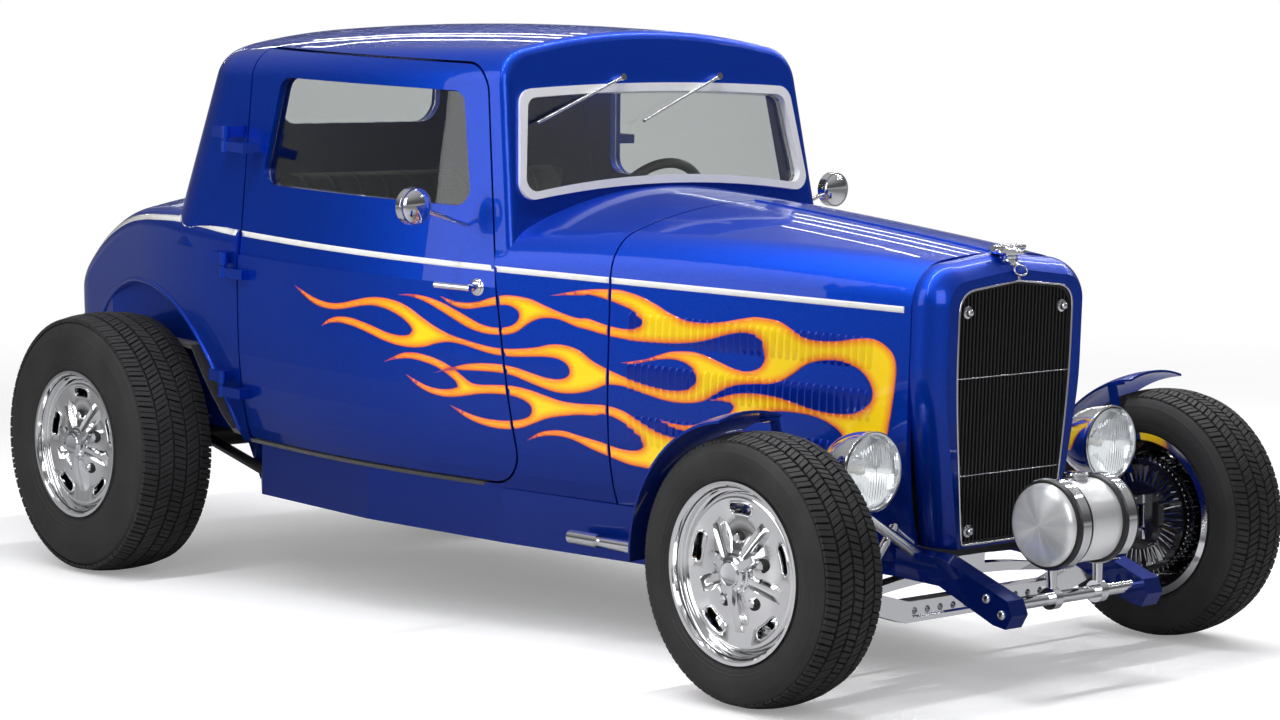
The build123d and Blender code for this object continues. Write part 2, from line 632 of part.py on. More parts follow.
for angle in (FENDER_LEAD + 8, FENDER_LEAD + FENDER_ARC - 12):
    stay = join(extruded(Plane(origin=(0, 584, 0), x_dir=(1, 0, 0), z_dir=(0, 1, 0)), [(-16, -110), (16, -110), (12, -FENDER_R - 2), (-12, -FENDER_R - 2)], 8),
                extruded(Plane(origin=(0, 584, 0), x_dir=(1, 0, 0), z_dir=(0, 1, 0)), [(-12, -FENDER_R + 6), (12, -FENDER_R + 6), (12, -FENDER_R - 4), (-12, -FENDER_R - 4)], 40),
                bar((0, 584, 122), (0, 604, 122), 10))
    stays.append(Rot(0, -angle, 0) * stay)
cycle = Pos(FRONT_X, 0, FRONT_R) * join(fender_arc, *stays)
cycle = cut(cycle, knuckle(8 + RUN))
save(cycle, "cycle_fender_left")
save(flip(cycle), "cycle_fender_right")

# Rear axle with its centre case, links and coil-overs
case = lathe([(-150, 0), (-150, 44), (-110, 60), (-60, 128), (0, 150), (60, 128), (110, 60), (150, 44), (150, 0)])
tube = lathe([(-572, 0), (-572, 140), (-564, 140), (-564, 44), (564, 44), (564, 140), (572, 140), (572, 0)])
stubs = lathe([(-772, 0), (-772, HUB_BORE), (772, HUB_BORE), (772, 0)])
rear_axle = Pos(REAR_X, 0, REAR_R) * join(case, tube, stubs)
save(rear_axle, "rear_axle")
links, coils = [], []
for y in (-1, 1):
    links += [bar((REAR_X + 36, y * 400, REAR_R - 12), (REAR_X + 640, y * 560, 300), 15)]
    coils += [bar((REAR_X, y * 300, REAR_R + 20), at(-1190, y * 300, 545), 34)]
link_bars = cut(join(*links), rear_axle, rails)
save(join(*link_bars.solids().sort_by(SortBy.VOLUME)[-2:]), "rear_links")
save(cut(join(*coils), rear_axle, cross), "rear_coilovers")

# Grille shell, insert, radiator and cap
SHELL = ((1520, 0), (1566, 5), (1606, 34))     # station, inset


def shell_face(u, inset):
    with BuildSketch(station(u)) as sk:
        with BuildLine():
            Line((0, 388), (205 - inset, 388))
            FilletPolyline((205 - inset, 388), (266 - inset, 760), (266 - inset, 1046 - inset), (0, 1074 - inset), radius=[700, 96 - inset])
            mirror(about=Plane.YZ)
        make_face()
    return sk.sketch


def opening(u, inset, depth):
    with BuildPart() as p:
        with BuildSketch(station(u)) as sk:
            with BuildLine():
                Line((0, 396 + inset), (158 - inset, 396 + inset))
                FilletPolyline((158 - inset, 396 + inset), (196 - inset, 760), (196 - inset, 992 - inset), (0, 1012 - inset), radius=[700, 58 - inset])
                mirror(about=Plane.YZ)
            make_face()
        extrude(amount=depth)
    return p.part


with BuildPart() as shell:
    for u, inset in SHELL:
        add(shell_face(u, inset))
    loft()
with BuildPart() as shell_core:
    for u, inset in ((1520, 16), (1588, 40)):
        add(shell_face(u, inset))
    loft()
grille_shell = cut(shell.part, shell_core.part, opening(1500, 0, 200), rails)
save(grille_shell, "grille_shell")
bars = []
for i in range(-15, 16):
    bars.append(slab(1588, 1600, i * 12.4 - 2.5, i * 12.4 + 2.5, 396, 1012))
ring = cut(opening(1586, 0, 16), opening(1580, 7, 40))
rods = [slab(1584, 1588, -196, 196, w - 3, w + 3) for w in (560, 790)]
insert = common(join(*bars, *rods, ring), opening(1580, 0, 40))
save(insert, "grille_insert")
save(cut(slab(1540, 1584, -172, 172, SILL_W, 990), grille_shell, insert, rails), "radiator")
cap_base = at(1570, 0, 1040)
cap = join(bar(cap_base, at(1570, 0, 1076), 30), bar(at(1570, 0, 1076), at(1570, 0, 1086), 44), bar(at(1570, -56, 1088), at(1570, 56, 1088), 9))
save(join(cut(cap, grille_shell).solids().sort_by(Axis.Z)[-1]), "radiator_cap")

# Headlamps on forged stands
LAMP_X, LAMP_Y, LAMP_Z, LAMP_R = 1576 + MID_X, 416, 515, 92
LENS_R, LENS_RISE = 86, 14
dome_r = (LENS_R ** 2 + LENS_RISE ** 2) / (2 * LENS_RISE)
dome_a = math.asin(LENS_R / dome_r)
buckets, lenses, stands = [], [], []
for y in (-LAMP_Y, LAMP_Y):
    with BuildPart() as bucket:
        with BuildSketch(Plane(origin=(LAMP_X, y, LAMP_Z), x_dir=(1, 0, 0), z_dir=(0, -1, 0))):
            with BuildLine():
                bowl = ThreePointArc((-150, 0), (-96, 66), (0, LAMP_R))
                Polyline(bowl @ 1, (8, LAMP_R), (8, 0), bowl @ 0)
            make_face()
        revolve(axis=Axis((LAMP_X, y, LAMP_Z), (1, 0, 0)))
    with BuildPart() as lens:
        with BuildSketch(Plane(origin=(LAMP_X + 8, y, LAMP_Z), x_dir=(1, 0, 0), z_dir=(0, -1, 0))):
            with BuildLine():
                dome = ThreePointArc((0, LENS_R), (dome_r * (math.cos(dome_a / 2) - math.cos(dome_a)), dome_r * math.sin(dome_a / 2)),
                                     (LENS_RISE, 0))
                Polyline(dome @ 1, (0, 0), dome @ 0)
            make_face()
        revolve(axis=Axis((LAMP_X + 8, y, LAMP_Z), (1, 0, 0)))
    buckets.append(bucket.part)
    lenses.append(lens.part)
    s = 1 if y > 0 else -1
    stands += [bar((LAMP_X - 30, y, LAMP_Z - 100), (LAMP_X - 30, y, LAMP_Z - 70), 16), bar((LAMP_X - 30, y, LAMP_Z - 96), (LAMP_X - 10, s * 245, 305), 13)]
lamp_shells = join(*buckets)
save(lamp_shells, "headlamp_shells")
save(join(*lenses), "headlamp_lenses")
save(cut(join(*stands), lamp_shells, rails, shocks), "lamp_stands")

# Tail lamps
lamps = [bar(at(-1840, y, 560), at(-1890, y, 560), 40) for y in (-330, 330)]
save(cut(join(*lamps), tail_out), "tail_lamps")

# Door furniture: handle, mirror and the moving hinge leaves
HINGE_U, HINGE_V, HINGE_W = -652, 694, (1213, 870, 545)
PIN_R = 6


def body_half(w):
    # half width of the outer skin beside the hinges
    return 676 if w < 955 else 676 - 4 - (w - 955) * 0.13


trim, fixed_hinges = [], []
for w in HINGE_W:
    knuckle_low = bar(at(HINGE_U, HINGE_V, w - 36), at(HINGE_U, HINGE_V, w - 6), 11)
    pin = bar(at(HINGE_U, HINGE_V, w - 20), at(HINGE_U, HINGE_V, w + 26), PIN_R)
    leaf = slab(HINGE_U, HINGE_U + 92, HINGE_V - 6, HINGE_V + 6, w - 34, w - 8)
    foot = slab(HINGE_U + 52, HINGE_U + 92, body_half(w) - 14, HINGE_V, w - 34, w - 8)
    trim += [knuckle_low, pin, leaf, foot]
    barrel = bar(at(HINGE_U, HINGE_V, w), at(HINGE_U, HINGE_V, w + 34), 11)
    hole = bar(at(HINGE_U, HINGE_V, w - 2), at(HINGE_U, HINGE_V, w + 28), PIN_R + RUN)
    base = slab(HINGE_U - 60, HINGE_U - 4, body_half(w) - 14, HINGE_V + 4, w + 2, w + 32)
    fixed_hinges.append(cut(join(barrel, base), hole))
handle_root = at(305, 560, 897)
handle = join(bar(at(305, 560, 897), at(305, 612, 897), 10), bar(at(318, 612, 897), at(210, 640, 897), 8))
stalk = join(bar(at(250, 540, 1040), at(238, 738, 1102), 6), bar(at(228, 738, 1102), at(254, 738, 1102), 47))
trim_all = cut(join(*trim, handle, stalk), door)
save(trim_all, "door_trim_left")
save(flip(trim_all), "door_trim_right")
hinges = cut(join(*fixed_hinges, *[flip(h) for h in fixed_hinges]), roof, rear_body)
save(hinges, "door_hinges")

# Wipers hung from the header
blades = []
for v, tip in ((-130, -430), (210, -70)):
    pivot = SCREEN.from_local_coords(Vector(v, 330, -20))
    knob = SCREEN.from_local_coords(Vector(v, 330, 22))
    end = SCREEN.from_local_coords(Vector(tip, 215, 14))
    blades += [bar(pivot, knob, 9), bar(SCREEN.from_local_coords(Vector(v, 330, 18)), end, 4)]
save(cut(join(*blades), roof, cabin_out), "wipers")

# Cabin: dash under the cowl, bench seat, column and wheel
dash = common(nose_in, slab(DASH_U + 5, 410, -470, 470, 890, 1200))
save(dash, "dashboard")
cushion = extruded(side(0), [(-600, 397), (-110, 397), (-90, 600), (-130, 640), (-520, 600), (-600, 620)], 500, both=True)
squab = extruded(side(0), [(-520, 600), (-600, 620), (-740, 1120), (-690, 1150), (-620, 1140)], 500, both=True)
save(cut(cushion, floor_pan), "seat_cushion")
save(cut(squab, cushion), "seat_back")
WHEEL_AT, COLUMN_AT = at(-60, 330, 1000), at(680, 330, 720)
column_dir = (WHEEL_AT - COLUMN_AT).normalized()
spoke_plane = Plane(origin=WHEEL_AT, x_dir=(0, 1, 0), z_dir=column_dir)
with BuildPart() as rim_ring:
    with BuildSketch(Plane(origin=WHEEL_AT, x_dir=(0, 1, 0), z_dir=spoke_plane.y_dir)):
        with Locations((180, 0)):
            Circle(14)
    revolve(axis=Axis(WHEEL_AT, column_dir))
spokes = [bar(WHEEL_AT, spoke_plane.from_local_coords(Vector(180 * math.cos(math.radians(a)), 180 * math.sin(math.radians(a)), 0)), 9)
          for a in (90, 210, 330)]
save(cut(join(rim_ring.part, bar(COLUMN_AT, WHEEL_AT, 20), *spokes), cowl, dash), "steering_wheel")

# Engine block and exhaust
block = extruded(station(740), [(-120, 300), (120, 300), (210, 560), (230, 860), (-230, 860), (-210, 560)], 640)
save(block, "engine_block")
pipes = []
for v in (-260, 260):
    pipes += [bar(at(900, v, 262), at(-420, v, 262), 28), bar(at(-420, v, 262), at(-640, v, 262), 28)]
save(cut(join(*pipes), cross, rails), "exhaust")
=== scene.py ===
# %% [markdown]
# A flamed highboy coupe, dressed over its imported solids.
# The solids give every panel, wheel and rod its place. This file gives them paint, chrome,
# rubber, glass and leather, and adds what is too fine for the solids: flames, louvres, tread and seams.

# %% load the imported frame
import math
import bpy
import bmesh
import numpy as np
from mathutils import Matrix, Vector, geometry
from mathutils.bvhtree import BVHTree


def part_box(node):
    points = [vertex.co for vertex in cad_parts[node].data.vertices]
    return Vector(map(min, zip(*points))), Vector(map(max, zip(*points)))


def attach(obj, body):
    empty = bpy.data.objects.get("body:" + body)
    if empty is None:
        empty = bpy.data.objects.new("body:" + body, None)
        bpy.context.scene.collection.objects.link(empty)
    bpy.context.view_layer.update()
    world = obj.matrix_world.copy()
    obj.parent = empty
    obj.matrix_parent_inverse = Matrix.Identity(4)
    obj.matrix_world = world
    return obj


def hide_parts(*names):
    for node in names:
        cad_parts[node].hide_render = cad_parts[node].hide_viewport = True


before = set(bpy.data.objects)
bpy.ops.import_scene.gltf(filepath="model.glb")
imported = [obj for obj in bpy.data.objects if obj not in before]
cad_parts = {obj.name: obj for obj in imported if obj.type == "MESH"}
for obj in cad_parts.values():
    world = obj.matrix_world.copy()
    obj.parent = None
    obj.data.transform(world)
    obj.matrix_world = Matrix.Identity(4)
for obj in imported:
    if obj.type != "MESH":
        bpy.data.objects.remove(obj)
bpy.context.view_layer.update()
scene = bpy.context.scene
scene.view_settings.view_transform = "Standard"

# %% [markdown]
# The body sits nose down on its wheels, so its panels are measured along a raked frame. u runs forward
# along the body, v to the left and w up, in metres. One helper turns such a point into the scene's frame,
# and its partner turns it back.

# %% the raked body frame
RAKE, MID_X = math.radians(2.6), -0.0388
COS, SIN = math.cos(RAKE), math.sin(RAKE)


def at(u, v, w):
    return Vector((MID_X + u * COS + w * SIN, v, -u * SIN + w * COS))


def local(p):
    x = p[0] - MID_X
    return x * COS - p[2] * SIN, p[1], x * SIN + p[2] * COS


print("nose corner", [round(c, 3) for c in at(1.52, 0, 0.955)])

# %% [markdown]
# The camera stands where the photographer stood, low off the right front corner with a long lens.
# Its place and axes were worked out from points measured on the car, so the render lines up with the picture.

# %% camera
lens_pixels = 3310.5
camera = bpy.data.objects.new("camera", bpy.data.cameras.new("camera"))
scene.collection.objects.link(camera)
camera.data.sensor_width = 36
camera.data.lens = lens_pixels * 36 / 1280
camera.data.clip_end = 200
right, up, ahead = Vector((0.66249, 0.74907, -0.00112)), Vector((-0.06908, 0.06259,
    0.99565)), Vector((-0.74588, 0.65953, -0.09321))
turn = Matrix((right, up, -ahead)).transposed()
camera.matrix_world = Matrix.Translation((6.829, -5.798, 1.478)) @ turn.to_4x4()
scene.camera = camera
print("lens", round(camera.data.lens, 1), "mm")

# %% [markdown]
# Glossy paint and chrome show what stands round them more than they show their own colour. A white studio
# alone leaves chrome flat, so the sky darkens towards the horizon for reflections, and rows of tube lights
# hang over the car along its length, which draw the thin white streaks on the hood and roof. Seen directly
# or through glass, the studio is plain white.

# %% studio light
def set_stops(ramp, stops):
    elements = ramp.color_ramp.elements
    while len(elements) > 1:
        elements.remove(elements[-1])
    for i, (place, colour) in enumerate(stops):
        stop = elements[0] if i == 0 else elements.new(place)
        stop.position, stop.color = place, (*colour, 1)


world = bpy.data.worlds.new("studio")
scene.world = world
world.use_nodes = True
tree = world.node_tree
tree.nodes.clear()
direction = tree.nodes.new("ShaderNodeTexCoord")
split = tree.nodes.new("ShaderNodeSeparateXYZ")
ramp = tree.nodes.new("ShaderNodeValToRGB")
set_stops(ramp, [(place, (shade, shade, shade * 1.02))
    for place, shade in ((0.0, 0.2), (0.47, 0.2), (0.495, 0.36), (0.51, 0.24), (0.54, 0.07), (0.62, 0.10),
    (0.74, 0.28), (1.0, 0.48))])
spread = tree.nodes.new("ShaderNodeMapRange")
spread.inputs["From Min"].default_value = -1
soft, white = tree.nodes.new("ShaderNodeBackground"), tree.nodes.new("ShaderNodeBackground")
soft.inputs["Strength"].default_value = 1.0
white.inputs["Color"].default_value, white.inputs["Strength"].default_value = (1, 1, 1, 1), 1.0
path, either = tree.nodes.new("ShaderNodeLightPath"), tree.nodes.new("ShaderNodeMath")
either.operation = "MAXIMUM"
mix, out = tree.nodes.new("ShaderNodeMixShader"), tree.nodes.new("ShaderNodeOutputWorld")
tree.links.new(direction.outputs["Generated"], split.inputs[0])
tree.links.new(split.outputs["Z"], spread.inputs["Value"])
tree.links.new(spread.outputs[0], ramp.inputs["Fac"])
tree.links.new(ramp.outputs["Color"], soft.inputs["Color"])
tree.links.new(path.outputs["Is Camera Ray"], either.inputs[0])
tree.links.new(path.outputs["Is Transmission Ray"], either.inputs[1])
tree.links.new(either.outputs[0], mix.inputs["Fac"])
tree.links.new(soft.outputs[0], mix.inputs[1])
tree.links.new(white.outputs[0], mix.inputs[2])
tree.links.new(mix.outputs[0], out.inputs["Surface"])


def lamp(name, place, aim, size, power):
    data = bpy.data.lights.new(name, "AREA")
    data.shape, data.size, data.size_y, data.energy = "RECTANGLE", size[0], size[1], power
    item = bpy.data.objects.new(name, data)
    item.location = place
    item.rotation_euler = (Vector(aim) - Vector(place)).to_track_quat("-Z", "X").to_euler()
    item.visible_camera = False
    scene.collection.objects.link(item)


for i, (y, z) in enumerate(((3.4, 3.4), (5.0, 3.8), (7.2, 4.4), (10.0, 5.0))):
    lamp(f"far_tube_{i}", (-4.0, y, z), (-4.0, 0, 0.8), (0.011 * y ** 0.6, 16.0), 10 * y ** 0.6)
for i, y in enumerate((-3.4, -2.0, -0.7, 0.7, 2.0, 3.4)):
    lamp(f"tube_{i}", (0.5, y, 4.2), (0.5, y, 0), (0.07, 7.0), 56)
lamp("front_fill", (6.5, -7.0, 4.5), (0, 0, 0.6), (6, 4), 240)
lamp("side_fill", (-2.5, -8.0, 3.5), (-0.5, 0, 0.7), (6, 3), 140)

# %% [markdown]
# Finishes that share an effect take it from a node group. The grain group gives a soft mottled value and a
# height: chrome uses it for faint polishing haze, rubber for dust, leather for its pores. The flake group
# gives the sparkle of metal flake under clear coat, as tiny cells that each have a random value of their own.

# %% shared shader groups
def group(name, sockets, outputs):
    g = bpy.data.node_groups.new(name, "ShaderNodeTree")
    for label, value in sockets:
        g.interface.new_socket(label, in_out="INPUT", socket_type="NodeSocketFloat").default_value = value
    for label, kind in outputs:
        g.interface.new_socket(label, in_out="OUTPUT", socket_type=kind)
    return g, g.nodes.new("NodeGroupInput"), g.nodes.new("NodeGroupOutput")


grain, g_in, g_out = group("grain", (("Scale", 40.0), ("Detail", 4.0), ("Low", 0.1), ("High", 0.3)),
                           (("Value", "NodeSocketFloat"), ("Height", "NodeSocketFloat")))
coords, noise = grain.nodes.new("ShaderNodeTexCoord"), grain.nodes.new("ShaderNodeTexNoise")
fit = grain.nodes.new("ShaderNodeMapRange")
grain.links.new(coords.outputs["Object"], noise.inputs["Vector"])
grain.links.new(g_in.outputs["Scale"], noise.inputs["Scale"])
grain.links.new(g_in.outputs["Detail"], noise.inputs["Detail"])
grain.links.new(noise.outputs["Fac"], fit.inputs["Value"])
grain.links.new(g_in.outputs["Low"], fit.inputs["To Min"])
grain.links.new(g_in.outputs["High"], fit.inputs["To Max"])
grain.links.new(fit.outputs[0], g_out.inputs["Value"])
grain.links.new(noise.outputs["Fac"], g_out.inputs["Height"])

flake, f_in, f_out = group("flake", (("Scale", 900.0),), (("Spark", "NodeSocketFloat"),))
coords, cells = flake.nodes.new("ShaderNodeTexCoord"), flake.nodes.new("ShaderNodeTexVoronoi")
spark = flake.nodes.new("ShaderNodeSeparateColor")
flake.links.new(coords.outputs["Object"], cells.inputs["Vector"])
flake.links.new(f_in.outputs["Scale"], cells.inputs["Scale"])
flake.links.new(cells.outputs["Color"], spark.inputs[0])
flake.links.new(spark.outputs[0], f_out.inputs["Spark"])
print("groups", grain.name, flake.name)

# %% [markdown]
# Each finish is one Principled material. A helper sets the plain values on the shader's own sockets, and
# where asked adds the grain group for roughness and bump. Paint and flames build on it with links of their
# own.

# %% finishes
def finish(name, colour, rough=0.3, haze=None, bump=0.0, scale=60.0, **sockets):
    m = bpy.data.materials.new(name)
    m.use_nodes = True
    shader = m.node_tree.nodes["Principled BSDF"]
    shader.inputs["Base Color"].default_value = (*colour, 1)
    shader.inputs["Roughness"].default_value = rough
    for label, value in sockets.items():
        shader.inputs[label.replace("_", " ")].default_value = value
    if haze or bump:
        use = m.node_tree.nodes.new("ShaderNodeGroup")
        use.node_tree = grain
        use.inputs["Scale"].default_value = scale
        low, high = haze or (rough, rough)
        use.inputs["Low"].default_value, use.inputs["High"].default_value = low, high
        if haze:
            m.node_tree.links.new(use.outputs["Value"], shader.inputs["Roughness"])
        if bump:
            lift = m.node_tree.nodes.new("ShaderNodeBump")
            lift.inputs["Strength"].default_value, lift.inputs["Distance"].default_value = 1.0, bump
            m.node_tree.links.new(use.outputs["Height"], lift.inputs["Height"])
            m.node_tree.links.new(lift.outputs[0], shader.inputs["Normal"])
    return m


def tint(m, low, high, scale, detail=4.0):
    # two colours mottled by the grain group
    links, nodes = m.node_tree.links, m.node_tree.nodes
    use, blend = nodes.new("ShaderNodeGroup"), nodes.new("ShaderNodeMix")
    use.node_tree, blend.data_type = grain, "RGBA"
    use.inputs["Scale"].default_value, use.inputs["Detail"].default_value = scale, detail
    use.inputs["Low"].default_value, use.inputs["High"].default_value = -0.5, 1.5
    blend.inputs[6].default_value, blend.inputs[7].default_value = (*low, 1), (*high, 1)
    links.new(use.outputs["Value"], blend.inputs[0])
    links.new(blend.outputs[2], nodes["Principled BSDF"].inputs["Base Color"])
    return m


def add_flake(m, dark, light, scale=1400.0):
    links, nodes = m.node_tree.links, m.node_tree.nodes
    use, blend = nodes.new("ShaderNodeGroup"), nodes.new("ShaderNodeMix")
    use.node_tree, blend.data_type = flake, "RGBA"
    use.inputs["Scale"].default_value = scale
    blend.inputs[6].default_value, blend.inputs[7].default_value = (*dark, 1), (*light, 1)
    links.new(use.outputs["Spark"], blend.inputs[0])
    links.new(blend.outputs[2], nodes["Principled BSDF"].inputs["Base Color"])
    return blend


def paint_sill_shade(m, blend, low, high, depth):
    # painted shade: the base colour darkens towards the sill, for the dark floor that the lower panels reflect
    links, nodes = m.node_tree.links, m.node_tree.nodes
    place, split, fade, shade = (nodes.new("ShaderNode" + kind)
        for kind in ("TexCoord", "SeparateXYZ", "MapRange", "Mix"))
    fade.interpolation_type, shade.data_type, shade.blend_type = "SMOOTHSTEP", "RGBA", "MULTIPLY"
    for label, value in (("From Min", low), ("From Max", high), ("To Min", depth), ("To Max", 0.0)):
        fade.inputs[label].default_value = value
    shade.inputs[7].default_value = (0.0, 0.06, 0.12, 1)
    links.new(place.outputs["Object"], split.inputs[0])
    links.new(split.outputs["Z"], fade.inputs["Value"])
    links.new(fade.outputs[0], shade.inputs[0])
    links.new(blend.outputs[2], shade.inputs[6])
    links.new(shade.outputs[2], nodes["Principled BSDF"].inputs["Base Color"])


BLUE_DARK, BLUE_LIGHT = (0.001, 0.024, 0.34), (0.002, 0.070, 0.62)
blue_paint = finish("blue_paint", BLUE_LIGHT, 0.36, Metallic=0.75, Specular_IOR_Level=0.08, Coat_Weight=0.8,
    Coat_Roughness=0.015, Coat_IOR=1.36)
# the blue paint gets a painted shade that deepens towards the sill
paint_sill_shade(blue_paint, add_flake(blue_paint, BLUE_DARK, BLUE_LIGHT), 0.22, 0.85, 0.66)
chrome = finish("chrome", (0.86, 0.87, 0.89), haze=(0.03, 0.10), scale=30, Metallic=1.0)
polished = finish("polished_aluminium", (0.90, 0.905, 0.91), haze=(0.05, 0.13), scale=55, Metallic=1.0)
satin_black = finish("satin_black", (0.012, 0.012, 0.013), haze=(0.32, 0.5), bump=0.0004, scale=240)
gloss_black = finish("gloss_black", (0.006, 0.006, 0.007), haze=(0.08, 0.16), scale=40, Coat_Weight=0.6)
rubber = tint(finish("tyre_rubber", (0.016, 0.016, 0.016), haze=(0.62, 0.82), bump=0.0006, scale=420),
    (0.010, 0.010, 0.010), (0.022, 0.022, 0.023), 9)
tinted_glass = finish("tinted_glass", (0.46, 0.48, 0.48), 0.0, IOR=1.45, Transmission_Weight=1.0)
clear_glass = finish("clear_glass", (0.94, 0.96, 0.95), 0.0, IOR=1.45, Transmission_Weight=1.0)
# the windshield frame is bright satin metal, with its near-white colour a painted reflection of the white
# studio
frame_white_reflection = tint(finish("bright_frame", (0.92, 0.92, 0.91), haze=(0.16, 0.24), scale=40, Metallic=0.25,
    Coat_Weight=0.5), (0.88, 0.88, 0.87), (0.95, 0.95, 0.94), 25)
lamp_glass = finish("lamp_glass", (0.95, 0.97, 0.98), 0.02, IOR=1.3, Transmission_Weight=1.0)
red_lens = finish("red_lens", (0.5, 0.006, 0.01), haze=(0.05, 0.12), bump=0.0006, scale=160, Coat_Weight=1.0)
carpet = tint(finish("carpet", (0.02, 0.02, 0.022), 0.95, bump=0.002, scale=600, Sheen_Weight=0.3),
    (0.012, 0.012, 0.013), (0.035, 0.035, 0.038), 300)
leather = tint(finish("grey_leather", (0.07, 0.07, 0.075), haze=(0.42, 0.6), bump=0.0012, scale=380,
    Sheen_Weight=0.1), (0.05, 0.05, 0.053), (0.085, 0.085, 0.09), 14)
white_line = tint(finish("white_line", (0.8, 0.8, 0.78), 0.3, Coat_Weight=1.0, Coat_Roughness=0.03),
    (0.74, 0.74, 0.72), (0.84, 0.84, 0.82), 30)
cast_iron = tint(finish("cast_iron", (0.05, 0.05, 0.05), haze=(0.5, 0.7), bump=0.002, scale=120,
    Metallic=0.6), (0.03, 0.03, 0.03), (0.08, 0.08, 0.078), 20)
print("finishes", len(bpy.data.materials))

# %% [markdown]
# Most solids already have the right shape, so they keep it and only get their finish. The list below gives
# each finish its nodes. What is replaced later by a finer piece still gets one, for safety.

# %% give the solids their finishes
WORN = {
    blue_paint: "cowl hood_top hood_sides rear_body deck_lid roof door_left door_right "
                "frame_rails grille_shell door_hinges lid_hinges dashboard "
                "cycle_fender_left cycle_fender_right",
    frame_white_reflection: "windshield_frame",
    chrome: "headlamp_shells radiator_cap spreader_bar door_trim_left door_trim_right wipers "
            "front_axle radius_rods front_shocks "
            "lamp_stands tie_rod knuckle_left knuckle_right front_spring exhaust",
    polished: "wheel_front_left wheel_front_right wheel_rear_left wheel_rear_right front_tank",
    rubber: "tyre_front_left tyre_front_right tyre_rear_left tyre_rear_right",
    tinted_glass: "door_glass_left door_glass_right",
    clear_glass: "fixed_glass",
    lamp_glass: "headlamp_lenses",
    red_lens: "tail_lamps",
    satin_black: "grille_insert radiator crossmembers rear_axle rear_links rear_coilovers steering_wheel",
    carpet: "floor_pan",
    leather: "seat_cushion seat_back",
    cast_iron: "engine_block",
}
for material, names in WORN.items():
    for name in names.split():
        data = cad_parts[name].data
        data.materials.clear()
        data.materials.append(material)
print("dressed", sum(len(names.split()) for names in WORN.values()), "of", len(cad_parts))

# %% [markdown]
# Small helpers make a plain mesh piece, bake its modifiers and hang it on the body that carries it.
# Rays shot at the solids from the side say where a point of the paintwork lies on a panel.

# %% helpers for pieces
def piece(name, points, faces, material, body, smooth=True):
    mesh = bpy.data.meshes.new(name)
    mesh.from_pydata([tuple(p) for p in points], [], faces)
    mesh.materials.append(material)
    for p in mesh.polygons:
        p.use_smooth = smooth
    item = bpy.data.objects.new(name, mesh)
    scene.collection.objects.link(item)
    item["rides"] = body
    return item


def settle(item):
    # the modifiers become plain mesh
    graph = bpy.context.evaluated_depsgraph_get()
    mesh = bpy.data.meshes.new_from_object(item.evaluated_get(graph), preserve_all_data_layers=True,
        depsgraph=graph)
    item.modifiers.clear()
    old, item.data = item.data, mesh
    mesh.name = item.name
    bpy.data.meshes.remove(old)
    return item


def bake(item):
    # settled, and hung on the body that carries it
    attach(settle(item), item["rides"])
    return item


def outward(item, sharp=35):
    work = bmesh.new()
    work.from_mesh(item.data)
    bmesh.ops.remove_doubles(work, verts=work.verts, dist=1e-6)
    bmesh.ops.recalc_face_normals(work, faces=work.faces)
    work.to_mesh(item.data)
    work.free()
    item.data.set_sharp_from_angle(angle=math.radians(sharp))
    return item


def tree_of(name):
    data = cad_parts[name].data
    return BVHTree.FromPolygons([v.co for v in data.vertices], [p.vertices for p in data.polygons])


panels = {name: tree_of(name) for name in ("hood_sides", "hood_top", "cowl", "door_left", "door_right",
    "rear_body")}


def on_side(name, u, w, side):
    # where a level ray from the side meets a panel, with the panel's normal
    start = at(u, side * 1.2, w)
    hit, normal, _, _ = panels[name].ray_cast(start, Vector((0, -side, 0)))
    if hit is None or abs(hit.y) < 0.2:
        hit, normal, _, _ = panels[name].find_nearest(at(u, side * 0.6, w))
    return hit, normal if normal.y * side > 0 else -normal


print("panels ready", len(panels))

# %% [markdown]
# Flames are the paint everyone looks at first. They start at a bar behind the grille shell and run back in
# licks over hood, cowl and door, yellow in the middle and orange at the edge. A painter lays them out with
# tape as one long line, so here too they are one outline, in side view in millimetres along the body. Its
# points were picked by eye on the photograph and carried onto the side of the body through the solved
# camera by another script, whose output this table is. Each row ends in a pointed tip.

